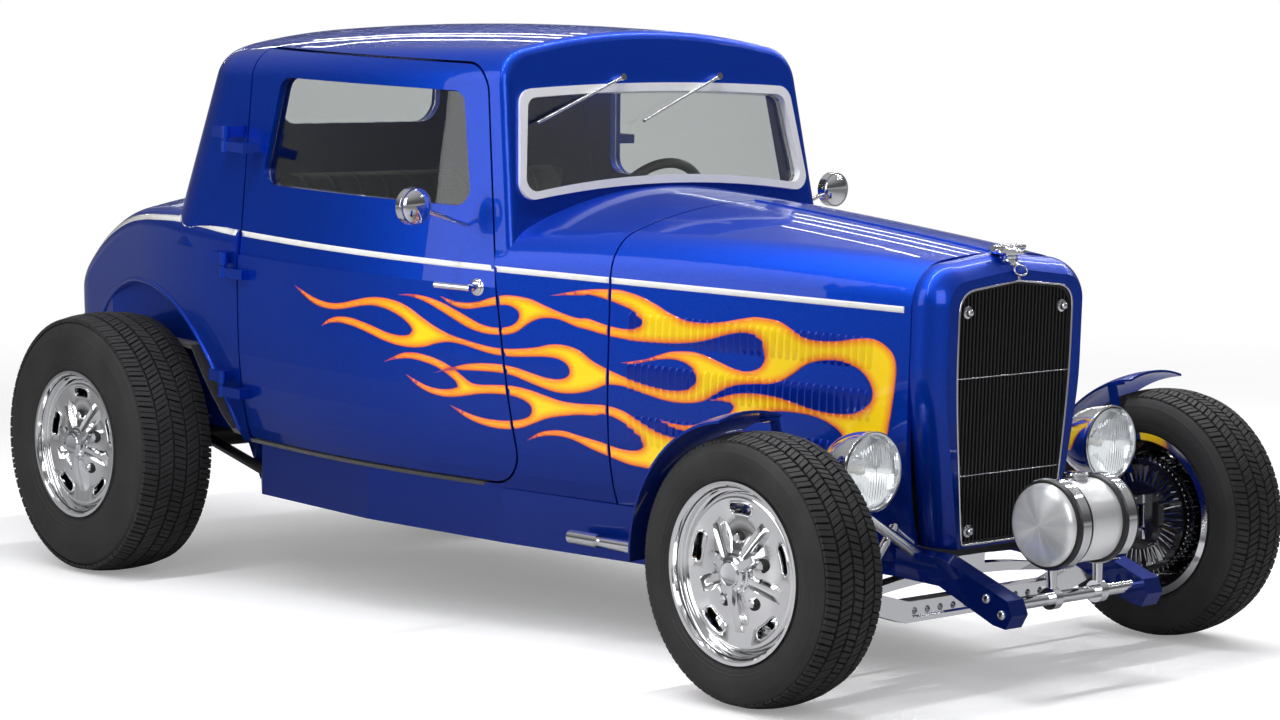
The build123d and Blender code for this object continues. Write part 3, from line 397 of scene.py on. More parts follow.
# %% flame outline
FLAME = (
    ((1470, 647), (1480, 711), (1487, 772), (1488, 814), (1479, 840), (1457, 860), (1423, 872), (1380, 868),
    (1340, 859), (1306, 855), (1272, 854), (1241, 859), (1210, 874), (1175, 890), (1140, 894), (1105, 894),
    (1063, 885), (1022, 875), (979, 868), (937, 867), (908, 871), (871, 883), (835, 899), (798, 913),
    (761, 922), (724, 927), (687, 925), (645, 921), (600, 913), (522, 894)),
    ((522, 894), (568, 899), (625, 904), (636, 907), (677, 902), (718, 893), (762, 880), (786, 865),
    (796, 853), (791, 843), (771, 834), (735, 832), (690, 837), (638, 848), (611, 846), (569, 853),
    (519, 866), (468, 881), (426, 885), (388, 884), (350, 875), (312, 862), (273, 855), (234, 856),
    (189, 865)),
    ((189, 865), (216, 850), (248, 840), (278, 839), (316, 846), (359, 855), (397, 859), (423, 852),
    (434, 839), (430, 824), (415, 811), (386, 802), (352, 800), (318, 805), (274, 821), (230, 838),
    (185, 852), (140, 860), (93, 861), (49, 855)),
    ((49, 855), (93, 855), (141, 846), (186, 830), (231, 811), (275, 793), (318, 783), (361, 781), (399, 785),
    (429, 795), (453, 812), (478, 827), (511, 837), (553, 837), (603, 824), (639, 819), (691, 811),
    (735, 807), (780, 805), (823, 806), (867, 808), (910, 812), (953, 819), (995, 831), (1033, 844),
    (1065, 852), (1093, 854), (1115, 849), (1132, 835), (1139, 817), (1139, 799), (1132, 780), (1113, 767),
    (1086, 761), (1054, 765), (1018, 776), (982, 787), (946, 794), (911, 793), (875, 788), (839, 775),
    (803, 762), (736, 747)),
    ((736, 747), (774, 748), (810, 757), (847, 766), (883, 770), (915, 766), (939, 754), (951, 736),
    (950, 718), (936, 704), (914, 697), (877, 694), (834, 697), (790, 704), (746, 714), (701, 727),
    (656, 743), (613, 767), (572, 775), (530, 773), (489, 762), (447, 755), (405, 750), (362, 749),
    (319, 753), (267, 761), (223, 770), (178, 785), (132, 806), (89, 827), (46, 839), (-3, 843), (-53, 839),
    (-105, 827), (-159, 814), (-209, 811), (-261, 818), (-308, 831), (-348, 843)),
    ((-348, 843), (-310, 821), (-266, 803), (-220, 795), (-169, 796), (-121, 805), (-73, 815), (-28, 819),
    (18, 813), (59, 800), (88, 784), (102, 768), (94, 757), (63, 751), (19, 754), (-31, 765), (-82, 775),
    (-131, 780), (-174, 776), (-207, 765), (-233, 745)),
    ((-233, 745), (-196, 758), (-152, 762), (-103, 757), (-51, 746), (0, 733), (49, 725), (97, 723),
    (144, 729), (184, 742), (224, 749), (267, 746), (311, 738), (358, 731), (405, 730), (456, 734),
    (506, 739), (548, 739), (576, 729), (588, 711), (580, 696), (557, 688), (519, 688), (473, 696),
    (431, 704), (388, 708), (346, 707), (303, 703), (260, 694), (173, 665)),
    ((173, 665), (225, 678), (277, 682), (329, 685), (380, 686), (423, 682), (465, 671), (507, 661),
    (549, 654), (591, 655), (632, 663), (669, 676), (694, 687), (731, 690), (768, 686), (812, 676),
    (856, 668), (900, 665), (943, 669), (978, 679), (1010, 699), (1042, 717), (1076, 728), (1118, 734),
    (1160, 739), (1194, 752), (1224, 773), (1251, 793), (1281, 805), (1315, 811), (1348, 811), (1379, 802),
    (1405, 786), (1422, 764), (1429, 741), (1423, 719), (1406, 703), (1380, 691), (1343, 686), (1306, 686),
    (1265, 691), (1223, 700), (1182, 708), (1140, 711), (1098, 710), (1056, 703), (1021, 691), (989, 681)),
    ((989, 681), (1024, 683), (1048, 681), (1057, 673), (1051, 660), (1032, 645), (1001, 631), (965, 620),
    (929, 613), (892, 613), (848, 619)),
    ((848, 619), (878, 606), (914, 599), (957, 601), (1000, 612), (1036, 628), (1071, 642), (1106, 657),
    (1148, 668), (1189, 675), (1231, 676), (1272, 673), (1309, 663), (1340, 647), (1356, 628), (1351, 606),
    (1326, 591), (1286, 587), (1238, 598), (1190, 611), (1141, 618), (1092, 616), (1043, 607), (992, 593),
    (942, 583), (891, 579), (848, 586), (812, 600), (776, 616), (740, 630), (695, 637), (665, 636),
    (616, 633), (566, 634), (516, 643), (465, 653), (414, 657), (363, 654), (320, 650), (290, 653),
    (264, 667), (233, 685), (193, 700), (148, 709), (106, 711), (64, 704), (5, 676)),
    ((5, 676), (49, 688), (97, 694), (144, 690), (184, 681), (220, 665), (245, 649), (250, 638), (229, 630),
    (193, 626), (158, 629), (121, 639), (81, 653)),
    ((81, 653), (111, 632), (148, 616), (188, 608), (228, 608), (272, 616), (320, 626), (368, 631),
    (410, 632), (444, 626), (467, 616), (475, 603), (469, 587), (446, 575), (408, 567), (369, 564),
    (326, 565), (283, 572), (223, 588)),
    ((223, 588), (266, 564), (308, 550), (355, 543), (402, 544), (445, 553), (484, 569), (523, 585),
    (565, 595), (615, 604), (664, 608), (687, 614), (724, 607), (757, 593), (783, 577), (801, 560),
    (801, 546), (786, 535), (757, 531), (721, 534), (677, 543), (609, 553), (567, 559), (526, 555),
    (491, 544), (455, 521)),
    ((455, 521), (499, 536), (541, 543), (583, 541), (623, 530), (652, 520), (703, 507), (754, 495),
    (809, 491), (863, 486), (921, 481), (993, 482), (1065, 490), (1136, 496), (1205, 496), (1274, 497),
    (1336, 505), (1392, 528), (1434, 560), (1458, 603), (1470, 647)),
)


def smooth_line(points, step):
    # a curve through the points, cut into steps of nearly one length
    out = []
    for i in range(len(points) - 1):
        a, b, c, d = (np.array(points[min(max(k, 0), len(points) - 1)], float)
            for k in (i - 1, i, i + 1, i + 2))
        for t in np.linspace(0, 1, max(2, int(np.linalg.norm(c - b) / step) + 1))[:-1]:
            out.append(0.5 * (2 * b + (c - a) * t + (2 * a - 5 * b + 4 * c - d) * t * t
                              + (3 * b - a - 3 * c + d) * t ** 3))
    return out


outline = np.array([p for row in FLAME for p in smooth_line(row, 7)]) / 1000
ends = np.roll(outline, -1, axis=0)


def flame_depth(points):
    # distance to the outline in metres, above zero inside the flames
    points = np.asarray(points, float)
    depth = np.empty(len(points))
    for i, p in enumerate(points):
        run = ends - outline
        t = np.clip(((p - outline) * run).sum(1) / np.maximum((run ** 2).sum(1), 1e-12), 0, 1)
        gap = np.sqrt((((outline + run * t[:, None]) - p) ** 2).sum(1)).min()
        rise = (outline[:, 1] <= p[1]) & (ends[:, 1] > p[1])
        drop = (outline[:, 1] > p[1]) & (ends[:, 1] <= p[1])
        left = run[:, 0] * (p[1] - outline[:, 1]) - (p[0] - outline[:, 0]) * run[:, 1]
        turns = (rise & (left > 0)).sum() - (drop & (left < 0)).sum()
        depth[i] = gap if turns else -gap
    return depth


print("outline points", len(outline))

# %% [markdown]
# The outline is filled with triangles, together with the lines where one panel ends and the next begins, so
# each panel gets its own share and the door carries its flames along when it opens. Every point is then set
# on its panel, and the film of paint is given a little thickness. Each point keeps its depth inside the
# flames for the colour.

# %% flames on the panels
HOOD_GAP = (0.6953, 0.7037)


def door_line(w):
    lead = 0.450 - 0.16607 * (w - 0.395)
    return lead + 0.25 * (on_side("cowl", lead + 0.015, w, 1)[0].y - 0.570)


cuts = [[(HOOD_GAP[k], w) for w in (0.40, 0.98)] for k in (0, 1)]
seam = [(door_line(w), w) for w in np.linspace(0.46, 0.95, 12)]
cuts += [[(u - back, w) for u, w in seam] for back in (0.0, 0.0062)]
inner = [(u, w) for u in np.arange(-0.36, 1.5, 0.007) for w in np.arange(0.47, 0.93, 0.007)]
inner = [p for p, d in zip(inner, flame_depth(inner)) if d > 0.0026]
spots = [Vector(p) for p in outline]
lines = [(i, (i + 1) % len(spots)) for i in range(len(spots))]
for cut in cuts:
    lines += [(len(spots) + i, len(spots) + i + 1) for i in range(len(cut) - 1)]
    spots += [Vector(p) for p in cut]
flat, _, cells, _, _, _ = geometry.delaunay_2d_cdt(spots + [Vector(p) for p in inner], lines, [], 0, 1e-6)
flat = np.array([tuple(p) for p in flat])
middles = np.array([flat[list(c)].mean(0) for c in cells])
cells = [c for c, d in zip(cells, flame_depth(middles)) if d > 0]
depths = np.maximum(flame_depth(flat), 0.0)
print("flame triangles", len(cells))


def share(u, w):
    lead = float(np.interp(w, [p[1] for p in seam], [p[0] for p in seam]))
    if u > HOOD_GAP[1]:
        return "hood_sides"
    if lead < u < HOOD_GAP[0]:
        return "cowl"
    return "door" if u < lead - 0.0062 else None


flame_paint = finish("flame_paint", (1.0, 0.5, 0.02), 0.32, Specular_IOR_Level=0.1, Coat_Weight=1.0,
    Coat_Roughness=0.015, Coat_IOR=1.4)
nodes, links = flame_paint.node_tree.nodes, flame_paint.node_tree.links
depth_in, ramp = nodes.new("ShaderNodeAttribute"), nodes.new("ShaderNodeValToRGB")
depth_in.attribute_name = "depth_in_flames"
reach = nodes.new("ShaderNodeMapRange")
reach.inputs["From Min"].default_value, reach.inputs["From Max"].default_value = -0.002, 0.022
set_stops(ramp, ((0.0, BLUE_DARK), (0.07, BLUE_LIGHT), (0.085, (0.5, 0.06, 0.06)),
    (0.16, (0.84, 0.16, 0.035)),
                 (0.42, (0.94, 0.36, 0.016)), (0.8, (0.98, 0.60, 0.010)), (1.0, (1.0, 0.68, 0.010))))
bare = nodes.new("ShaderNodeMapRange")
bare.inputs["From Min"].default_value, bare.inputs["From Max"].default_value = -0.0006, 0.0
bare.inputs["To Min"].default_value, bare.inputs["To Max"].default_value = 0.55, 0.0
links.new(depth_in.outputs["Fac"], bare.inputs["Value"])
links.new(bare.outputs[0], nodes["Principled BSDF"].inputs["Metallic"])
links.new(depth_in.outputs["Fac"], reach.inputs["Value"])
links.new(reach.outputs[0], ramp.inputs["Fac"])
links.new(ramp.outputs["Color"], nodes["Principled BSDF"].inputs["Base Color"])


def keep_depth(item, values):
    item.data.attributes.new("depth_in_flames", "FLOAT", "POINT").data.foreach_set("value",
        np.asarray(values, np.float32))


def film(side, panel):
    node = panel if panel != "door" else ("door_left" if side > 0 else "door_right")
    mine = [c for c in cells if share(*flat[list(c)].mean(0)) == panel]
    used = sorted({i for c in mine for i in c})
    order = {i: k for k, i in enumerate(used)}
    spots = [on_side(node, *flat[i], side) for i in used]
    points = [p + n * 0.0005 for p, n in spots]
    faces = [[order[i] for i in c] if side < 0 else [order[i] for i in reversed(c)] for c in mine]
    name = f"flames_{panel}_{'left' if side > 0 else 'right'}"
    item = piece(name, points, faces, flame_paint, node if panel == "door" else "chassis")
    keep_depth(item, depths[used])
    wall = item.modifiers.new("wall", "SOLIDIFY")
    wall.thickness, wall.offset = 0.001, -1
    return bake(item)


films = [film(side, panel) for side in (1, -1) for panel in ("hood_sides", "cowl", "door")]
print("films", [(f.name, len(f.data.polygons)) for f in films])

# %% [markdown]
# Louvres, tread blocks, bolts and fins are each one small shape set down many times, which is work for
# Geometry Nodes. One node group serves them all. It sets a copy on every point of a mesh, turned by the
# angles that the point carries, makes the copies real and gives them their finish. Its inputs are set by
# the identifier of their socket.

# %% copies on points
copies = bpy.data.node_groups.new("copies_on_points", "GeometryNodeTree")
for label, kind in (("Points", "NodeSocketGeometry"), ("Copy", "NodeSocketObject"),
    ("Finish", "NodeSocketMaterial")):
    copies.interface.new_socket(label, in_out="INPUT", socket_type=kind)
copies.interface.new_socket("Geometry", in_out="OUTPUT", socket_type="NodeSocketGeometry")
first, last = copies.nodes.new("NodeGroupInput"), copies.nodes.new("NodeGroupOutput")
shape_in = copies.nodes.new("GeometryNodeObjectInfo")
turn_in = copies.nodes.new("GeometryNodeInputNamedAttribute")
spread, real, wear = (copies.nodes.new("GeometryNode" + kind)
    for kind in ("InstanceOnPoints", "RealizeInstances", "SetMaterial"))
turn_in.data_type = "FLOAT_VECTOR"
turn_in.inputs["Name"].default_value = "turn"
for a, b in ((first.outputs["Points"], spread.inputs["Points"]),
    (first.outputs["Copy"], shape_in.inputs["Object"]),
             (shape_in.outputs["Geometry"], spread.inputs["Instance"]),
             (turn_in.outputs["Attribute"], spread.inputs["Rotation"]),
             (spread.outputs["Instances"], real.inputs["Geometry"]),
             (real.outputs["Geometry"], wear.inputs["Geometry"]),
             (first.outputs["Finish"], wear.inputs["Material"]),
             (wear.outputs["Geometry"], last.inputs["Geometry"])):
    copies.links.new(a, b)
socket = {s.name: s.identifier for s in copies.interface.items_tree if s.in_out == "INPUT"}


def scatter(name, spots, shape, material, body):
    # spots are pairs of a point and a turn; shape is a pair of points and faces
    pattern = outward(piece(name + "_pattern", *shape, material, body))
    item = piece(name, [p for p, _ in spots], [], material, body)
    turns = np.array([tuple(axes.to_euler()) for _, axes in spots], np.float32)
    item.data.attributes.new("turn", "FLOAT_VECTOR", "POINT").data.foreach_set("vector", turns.ravel())
    step = item.modifiers.new("copies", "NODES")
    step.node_group = copies
    step[socket["Copy"]], step[socket["Finish"]] = pattern, material
    bake(item)
    bpy.data.objects.remove(pattern)
    item.data.attributes.remove(item.data.attributes["turn"])
    return item


def skin(rings):
    # a closed skin over rings with the same number of points, capped at both ends
    n = len(rings[0])
    faces = [(i * n + k, i * n + (k + 1) % n, (i + 1) * n + (k + 1) % n, (i + 1) * n + k)
        for i in range(len(rings) - 1) for k in range(n)]
    return [p for ring in rings for p in ring], faces + [tuple(range(n)),
        tuple((len(rings) - 1) * n + k for k in range(n))]


def turned(name, profile, centre, axis, material, body, steps=96, sharp=30):
    # a closed profile of (along, radius) pairs turned about an axis through a point
    axis = Vector(axis)
    side = axis.orthogonal().normalized()
    other, n = axis.cross(side), len(profile)
    points = [Vector(centre) + axis * a + (side * math.cos(t) + other * math.sin(t)) * r
              for t in np.linspace(0, math.tau, steps, endpoint=False) for a, r in profile]
    faces = [(i * n + k, i * n + (k + 1) % n, (i + 1) % steps * n + (k + 1) % n, (i + 1) % steps * n + k)
             for i in range(steps) for k in range(n) if profile[k][1] or profile[(k + 1) % n][1]]
    return bake(outward(piece(name, points, faces, material, body), sharp))


def rod(name, paths, radius, material, body, cyclic=False):
    # round wire along one path or several
    data = bpy.data.curves.new(name, "CURVE")
    data.dimensions, data.bevel_depth, data.bevel_resolution, data.use_fill_caps = "3D", radius, 3, True
    for path in paths:
        line = data.splines.new("POLY")
        line.points.add(len(path) - 1)
        for spot, p in zip(line.points, path):
            spot.co = (*p, 1)
        line.use_cyclic_u = cyclic
    curve = bpy.data.objects.new(name + "_line", data)
    scene.collection.objects.link(curve)
    graph = bpy.context.evaluated_depsgraph_get()
    mesh = bpy.data.meshes.new_from_object(curve.evaluated_get(graph))
    bpy.data.objects.remove(curve)
    mesh.materials.clear()
    mesh.materials.append(material)
    item = bpy.data.objects.new(name, mesh)
    scene.collection.objects.link(item)
    item["rides"] = body
    return bake(outward(item, 40))


print("group", copies.name, sorted(socket))

# %% [markdown]
# A thin cream stripe follows the belt line from the nose to the tail, where it sweeps down. It lies on the
# panels like the flames, and is cut at every gap so that the doors take their part of it along. Seven of
# its points come from the photograph in the same way, and the rest are chosen to carry the line on.

# %% belt stripe
BELT = ((1.504, 0.947), (0.92, 0.9475), (0.336, 0.948), (-0.144, 0.952), (-0.624, 0.957), (-0.79, 0.9635),
    (-0.951, 0.968), (-1.075, 0.962), (-1.186, 0.953), (-1.315, 0.932),
        (-1.45, 0.89), (-1.58, 0.83), (-1.70, 0.745), (-1.79, 0.64), (-1.84, 0.54))
belt = np.array(smooth_line(BELT, 0.015) + [np.array(BELT[-1])])
lead = float(np.interp(0.948, [p[1] for p in seam], [p[0] for p in seam]))
PARTS = (("hood_sides", 1.502, HOOD_GAP[1]), ("cowl", HOOD_GAP[0], lead), ("door", lead - 0.0065, -0.618),
    ("rear_body", -0.633, -1.84))


def stripe(side, panel, front, back):
    node = panel if panel != "door" else ("door_left" if side > 0 else "door_right")
    us = np.concatenate([[front], belt[(belt[:, 0] < front - 0.003) & (belt[:, 0] > back + 0.003), 0],
        [back]])
    ws = np.interp(-us, -belt[:, 0], belt[:, 1])
    run = np.gradient(np.stack([us, ws], 1), axis=0)
    run /= np.linalg.norm(run, axis=1)[:, None]
    points, faces = [], []
    for u, w, (a, b) in zip(us, ws, run):
        for shift in (-0.0075, -0.0025, 0.0025, 0.0075):
            p, n = on_side(node, u - b * shift, w + a * shift, side)
            points.append(p + n * 0.0006)
    for i in range(len(us) - 1):
        for k in range(3):
            face = (i * 4 + k, i * 4 + k + 1, i * 4 + k + 5, i * 4 + k + 4)
            faces.append(face[::-1] if side < 0 else face)
    item = piece(f"stripe_{panel}_{'left' if side > 0 else 'right'}", points, faces, white_line,
        node if panel == "door" else "chassis")
    wall = item.modifiers.new("wall", "SOLIDIFY")
    wall.thickness, wall.offset = 0.0012, -1
    return bake(item)


stripes = [stripe(side, *part) for side in (1, -1) for part in PARTS]
print("stripes", len(stripes))

# %% [markdown]
# Three rows of louvres let hot air out of each hood side. A louvre is a long blister with its mouth to the
# rear, and a near-black sheet in each mouth is painted shade for the dark opening. The flames run over them,
# so after the copies are made each point looks up its own depth in the flames.

# %% hood louvres
rings, mouth = [], []
for z in np.linspace(-0.037, 0.037, 13):
    h = math.sqrt(max(1 - abs(z / 0.0375) ** 4, 0.0))
    rings.append([(0.0085, -0.0008, z), (0.004, 0.002 * h, z), (-0.001, 0.0046 * h, z),
        (-0.0052, 0.0064 * h, z), (-0.0066, 0.0056 * h, z), (-0.0066, -0.0008, z)])
    if abs(z) < 0.032:
        mouth.append([(-0.0064, 0.0, z), (-0.0064, 0.0042 * h, z), (-0.0070, 0.0042 * h, z),
            (-0.0070, 0.0, z)])
ahead_u = at(1, 0, 0) - at(0, 0, 0)
# a near-black finish; in the louvre mouths it is painted shade
near_black = finish("vent_dark", (0.004, 0.004, 0.005), haze=(0.5, 0.7), scale=90)
for side in (1, -1):
    spots = []
    for w in (0.8375, 0.7135, 0.5835):
        for u in np.arange(0.765, 1.43, 0.0198):
            p, n = on_side("hood_sides", u, w, side)
            along = (ahead_u - n * ahead_u.dot(n)).normalized()
            spots.append((p, Matrix((along, n, along.cross(n))).transposed()))
    tag = "left" if side > 0 else "right"
    louvres = scatter(f"louvres_{tag}", spots, skin(rings), flame_paint, "chassis")
    uw = [local(v.co)[::2] for v in louvres.data.vertices]
    keep_depth(louvres, flame_depth(uw))
    # painted shade: a near-black sheet closes each louvre mouth
    scatter(f"louvre_mouths_{tag}", spots, skin(mouth), near_black, "chassis")
print("louvres", len(spots), "a side")

# %% [markdown]
# A tyre is a turned carcass with its tread set on top. One pitch of the tread, five ribs wide with slanted
# blocks and a thin cut through each, is copied round the wheel. The sidewall has a few fine rings.

# %% tyres
def arc_through(a, b, c, count):
    # points along the circle through three points
    a, b, c = (np.array(p, float) for p in (a, b, c))
    d = 2 * (a[0] * (b[1] - c[1]) + b[0] * (c[1] - a[1]) + c[0] * (a[1] - b[1]))
    sq = [p @ p for p in (a, b, c)]
    mid = np.array([sq[0] * (b[1] - c[1]) + sq[1] * (c[1] - a[1]) + sq[2] * (a[1] - b[1]),
                    sq[0] * (c[0] - b[0]) + sq[1] * (a[0] - c[0]) + sq[2] * (b[0] - a[0])]) / d
    turn = [math.atan2(*(p - mid)[::-1]) for p in (a, b, c)]
    sweep = (turn[2] - turn[0] + math.pi) % math.tau - math.pi
    if not 0 < ((turn[1] - turn[0] + math.pi) % math.tau - math.pi) / sweep < 1:
        sweep -= math.copysign(math.tau, sweep)
    r = np.linalg.norm(a - mid)
    return [(mid[0] + r * math.cos(turn[0] + sweep * t), mid[1] + r * math.sin(turn[0] + sweep * t))
        for t in np.linspace(0, 1, count)]


def carcass_profile(half, rim_half, radius):
    side = arc_through((half - 0.028, radius - 0.009), (half, (radius + 0.208) / 2 + 0.006),
        (rim_half - 0.010, 0.208), 40)
    out = [(0.0, radius - 0.0095), ((half - 0.028) * 0.6, radius - 0.0125), (half - 0.030, radius - 0.0185)]
    for i, (y, r) in enumerate(side[6:], 6):
        lip = 0.0013 if i in (13, 14, 30, 33, 36) else 0.0
        out.append((y + lip * (1 if i > 25 else 0.5), r))
    out.append((rim_half - 0.012, 0.192))
    return out + [(-y, r) for y, r in out[:0:-1]]


def tread_pitch(half, radius, pitch):
    reach = half - 0.017
    ribs = ((-0.155, 0.155, 0.35, 0.0), (0.225, 0.56, -0.45, 0.5), (-0.56, -0.225, -0.45, 0.5),
        (0.63, 1.0, 0.22, 0.25), (-1.0, -0.63, 0.22, 0.25))
    points, faces = [], []

    def top(y):
        flat = half - 0.028
        return radius - 0.009 * (y / flat) ** 2 - 18 * max(abs(y) - flat, 0.0) ** 2

    for low, high, slant, shift in ribs:
        for a, b in ((-0.5 * pitch + 0.0022, -0.0007), (0.0007, 0.5 * pitch - 0.0022)):
            base = len(points)
            for inset, level in ((0.0, -0.0105), (0.0, -0.0012), (0.001, 0.0)):
                for y, s in ((low * reach + inset, a + inset), (high * reach - inset, a + inset),
                    (high * reach - inset, b - inset), (low * reach + inset, b - inset)):
                    turn = (s + slant * (y - (low + high) / 2 * reach) + shift * pitch) / radius
                    r = top(y) + level
                    points.append((r * math.sin(turn), y, r * math.cos(turn)))
            for k in range(4):
                n = (k + 1) % 4
                faces += [(base + k, base + n, base + 4 + n, base + 4 + k),
                    (base + 4 + k, base + 4 + n, base + 8 + n, base + 8 + k)]
            faces += [tuple(base + k for k in (3, 2, 1, 0)), tuple(base + 8 + k for k in range(4))]
    return points, faces


FRONT = dict(half=0.1025, rim=0.093, radius=0.313, pitches=62)
REAR = dict(half=0.1274, rim=0.1175, radius=0.369, pitches=72)
for end, t in (("front", FRONT), ("rear", REAR)):
    low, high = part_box(f"tyre_{end}_left")
    t["x"], t["y"] = (low[0] + high[0]) / 2, (low[1] + high[1]) / 2
    for side in (1, -1):
        tag = f"{end}_{'left' if side > 0 else 'right'}"
        body = f"{end}_wheel_{'left' if side > 0 else 'right'}"
        centre = Vector((t["x"], side * t["y"], t["radius"]))
        carcass = turned(f"tyre_{tag}_carcass", carcass_profile(t["half"], t["rim"], t["radius"]), centre,
            (0, 1, 0), rubber, body, 128)
        spots = [(centre, Matrix.Rotation(side * math.tau * i / t["pitches"], 3, "Y"))
            for i in range(t["pitches"])]
        scatter(f"tyre_{tag}_tread", spots,
            tread_pitch(t["half"], t["radius"], math.tau * t["radius"] / t["pitches"]), rubber, body)
        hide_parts(f"tyre_{tag}")
print("tread pitches", FRONT["pitches"], REAR["pitches"])

# %% [markdown]
# Each headlamp is a chrome bucket with a deep reflector, a bulb and a fluted lens. The flutes are on the
# inner face of the glass, as they are on a real lens, so that face has rings close enough together to be
# pressed into waves.

# %% headlamps
reflector = finish("reflector", (0.96, 0.965, 0.97), haze=(0.05, 0.12), scale=60, Metallic=0.7)
FLUTE_PITCH, FLUTE_DEPTH, LENS_R, LENS_BOW = 0.0085, 0.0009, 0.0862, 0.0133
bulb_glass = finish("bulb_glass", (0.95, 0.93, 0.88), haze=(0.05, 0.1), scale=80, Coat_Weight=0.6)
low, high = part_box("headlamp_lenses")
lamp_x, lamp_y = low[0] - 0.008, high[1] - 0.086
for side in (1, -1):
    tag = "left" if side > 0 else "right"
    centre = Vector((lamp_x, side * lamp_y, 0.515))
    bowl = arc_through((-0.150, 0.0), (-0.096, 0.066), (0.0, 0.092), 16)
    bowl[0] = (-0.150, 0.0)
    rim = [(0.001, 0.0945), (0.006, 0.0955), (0.011, 0.094), (0.0125, 0.0905), (0.0115, 0.0868),
        (0.006, 0.0855), (0.004, 0.0865), (-0.004, 0.0850)]
    inner = [(-0.06 + 0.056 * (r / 0.085) ** 2, r) for r in np.linspace(0.081, 0.0, 10)]
    bucket = turned(f"lamp_bucket_{tag}", bowl + rim + [(-0.008, 0.0845), (-0.066, 0.02), (-0.066, 0.0)],
        centre, (1, 0, 0), chrome, "chassis")
    turned(f"lamp_dish_{tag}", [(-0.004, 0.0848)] + inner + [(-0.064, 0.0), (-0.063, 0.02),
        (-0.0065, 0.0845)], centre, (1, 0, 0), reflector, "chassis")
    dome = [(0.0085 + LENS_BOW * (1 - (r / LENS_R) ** 2), r) for r in np.linspace(LENS_R, 0.0, 12)]
    lens = turned(f"lamp_lens_{tag}", dome + [(0.0185, 0.0)]
                  + [(0.0052 + LENS_BOW * (1 - (r / LENS_R) ** 2), r) for r in np.linspace(0.003, LENS_R, 27)],
                  centre, (1, 0, 0), lamp_glass, "chassis", 192, sharp=60)
    for v in lens.data.vertices:
        x, y, z = v.co - centre
        bow = 1 - (math.hypot(y, z) / LENS_R) ** 2
        if x < 0.0069 + LENS_BOW * bow:
            v.co.x += FLUTE_DEPTH * math.cos(math.tau * y / FLUTE_PITCH) * (1 - (1 - bow) ** 3)
    turned(f"lamp_bulb_{tag}", [(-0.062, 0.0), (-0.062, 0.009), (-0.045, 0.009), (-0.036, 0.012),
        (-0.026, 0.0105), (-0.021, 0.006), (-0.019, 0.0)],
           centre, (1, 0, 0), bulb_glass, "chassis", 32)
    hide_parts("headlamp_shells")
    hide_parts("headlamp_lenses")
print("lamps at", round(lamp_x, 3), round(lamp_y, 3))

# %% [markdown]
# The grille opening has a bright edge, two thin cross wires and four acorn nuts. On the shell a bright
# strip runs from the cap down to a plain oval badge.

# %% grille trim
def rounded(corners, sizes, steps=8):
    # a path whose corners are eased by the given lengths
    out = [corners[0]]
    for i in range(1, len(corners) - 1):
        p, a, b = (np.array(corners[k], float) for k in (i, i - 1, i + 1))
        start = p + (a - p) / np.linalg.norm(a - p) * sizes[i - 1]
        stop = p + (b - p) / np.linalg.norm(b - p) * sizes[i - 1]
        out += [tuple((1 - t) ** 2 * start + 2 * t * (1 - t) * p + t * t * stop)
            for t in np.linspace(0, 1, steps)]
    return out + [corners[-1]]


half = rounded([(0.0, 1.012), (0.196, 0.992), (0.196, 0.760), (0.158, 0.396), (0.0, 0.396)],
    (0.052, 0.12, 0.012))
loop = half[:-1] + [(-v, w) for v, w in reversed(half[1:])]
rod("grille_edge", [[at(1.605, v, w) for v, w in loop]], 0.003, chrome, "chassis", cyclic=True)
rod("grille_wires", [[at(1.6012, v, w) for v in (-h, h)] for w, h in ((0.79, 0.19), (0.56, 0.17))], 0.0014,
    chrome, "chassis")
ahead_axes = Matrix((ahead_u, Vector((0, 1, 0)), ahead_u.cross(Vector((0, 1, 0))))).transposed()


def knob(stations, count=16):
    # round rings of (along x, radius)
    return skin([[(x, r * math.cos(t), r * math.sin(t))
        for t in np.linspace(0, math.tau, count, endpoint=False)] for x, r in stations])


acorn = knob(((-0.002, 0.015), (0.002, 0.015), (0.003, 0.0135), (0.0035, 0.010), (0.009, 0.010),
    (0.013, 0.008), (0.0155, 0.0045), (0.016, 0.0015)), 18)
scatter("grille_nuts", [(at(1.6005, v, w), ahead_axes)
    for v, w in ((0.163, 0.945), (-0.163, 0.945), (0.133, 0.428), (-0.133, 0.428))], acorn, chrome, "chassis")
rod("shell_strip", [[at(u, 0, w) for u, w in ((1.560, 1.0712), (1.575, 1.0655), (1.588, 1.0575),
    (1.600, 1.0465), (1.6065, 1.038), (1.6085, 1.014))]], 0.0042, chrome, "chassis")
face = [[(x, 0.021 * s * math.cos(t), 0.0125 * s * math.sin(t))
    for t in np.linspace(0, math.tau, 40, endpoint=False)]
        for x, s in ((-0.004, 1.0), (0.0055, 1.0), (0.0068, 0.88), (0.0072, 0.5))]
tip = Matrix.Rotation(math.radians(-28), 3, "Y")
scatter("shell_badge", [(at(1.6078, 0, 1.0345), tip)], skin(face), blue_paint, "chassis")
ring = [at(1.6078, 0, 1.0345) + tip @ Vector((0.0055, 0.0215 * math.cos(t), 0.013 * math.sin(t)))
    for t in np.linspace(0, math.tau, 40, endpoint=False)]
rod("badge_ring", [ring], 0.0022, chrome, "chassis", cyclic=True)
up_w = at(0, 0, 1) - at(0, 0, 0)
cap = turned("filler_cap", [(0.0, 0.0), (0.0, 0.029), (0.010, 0.029), (0.014, 0.024), (0.022, 0.021),
    (0.028, 0.023), (0.031, 0.034), (0.034, 0.041), (0.038, 0.043), (0.042, 0.041),
                            (0.044, 0.033), (0.047, 0.022), (0.053, 0.015), (0.055, 0.0)],
                            at(1.570, 0, 1.040), up_w, chrome, "chassis", 72)
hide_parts("radiator_cap")
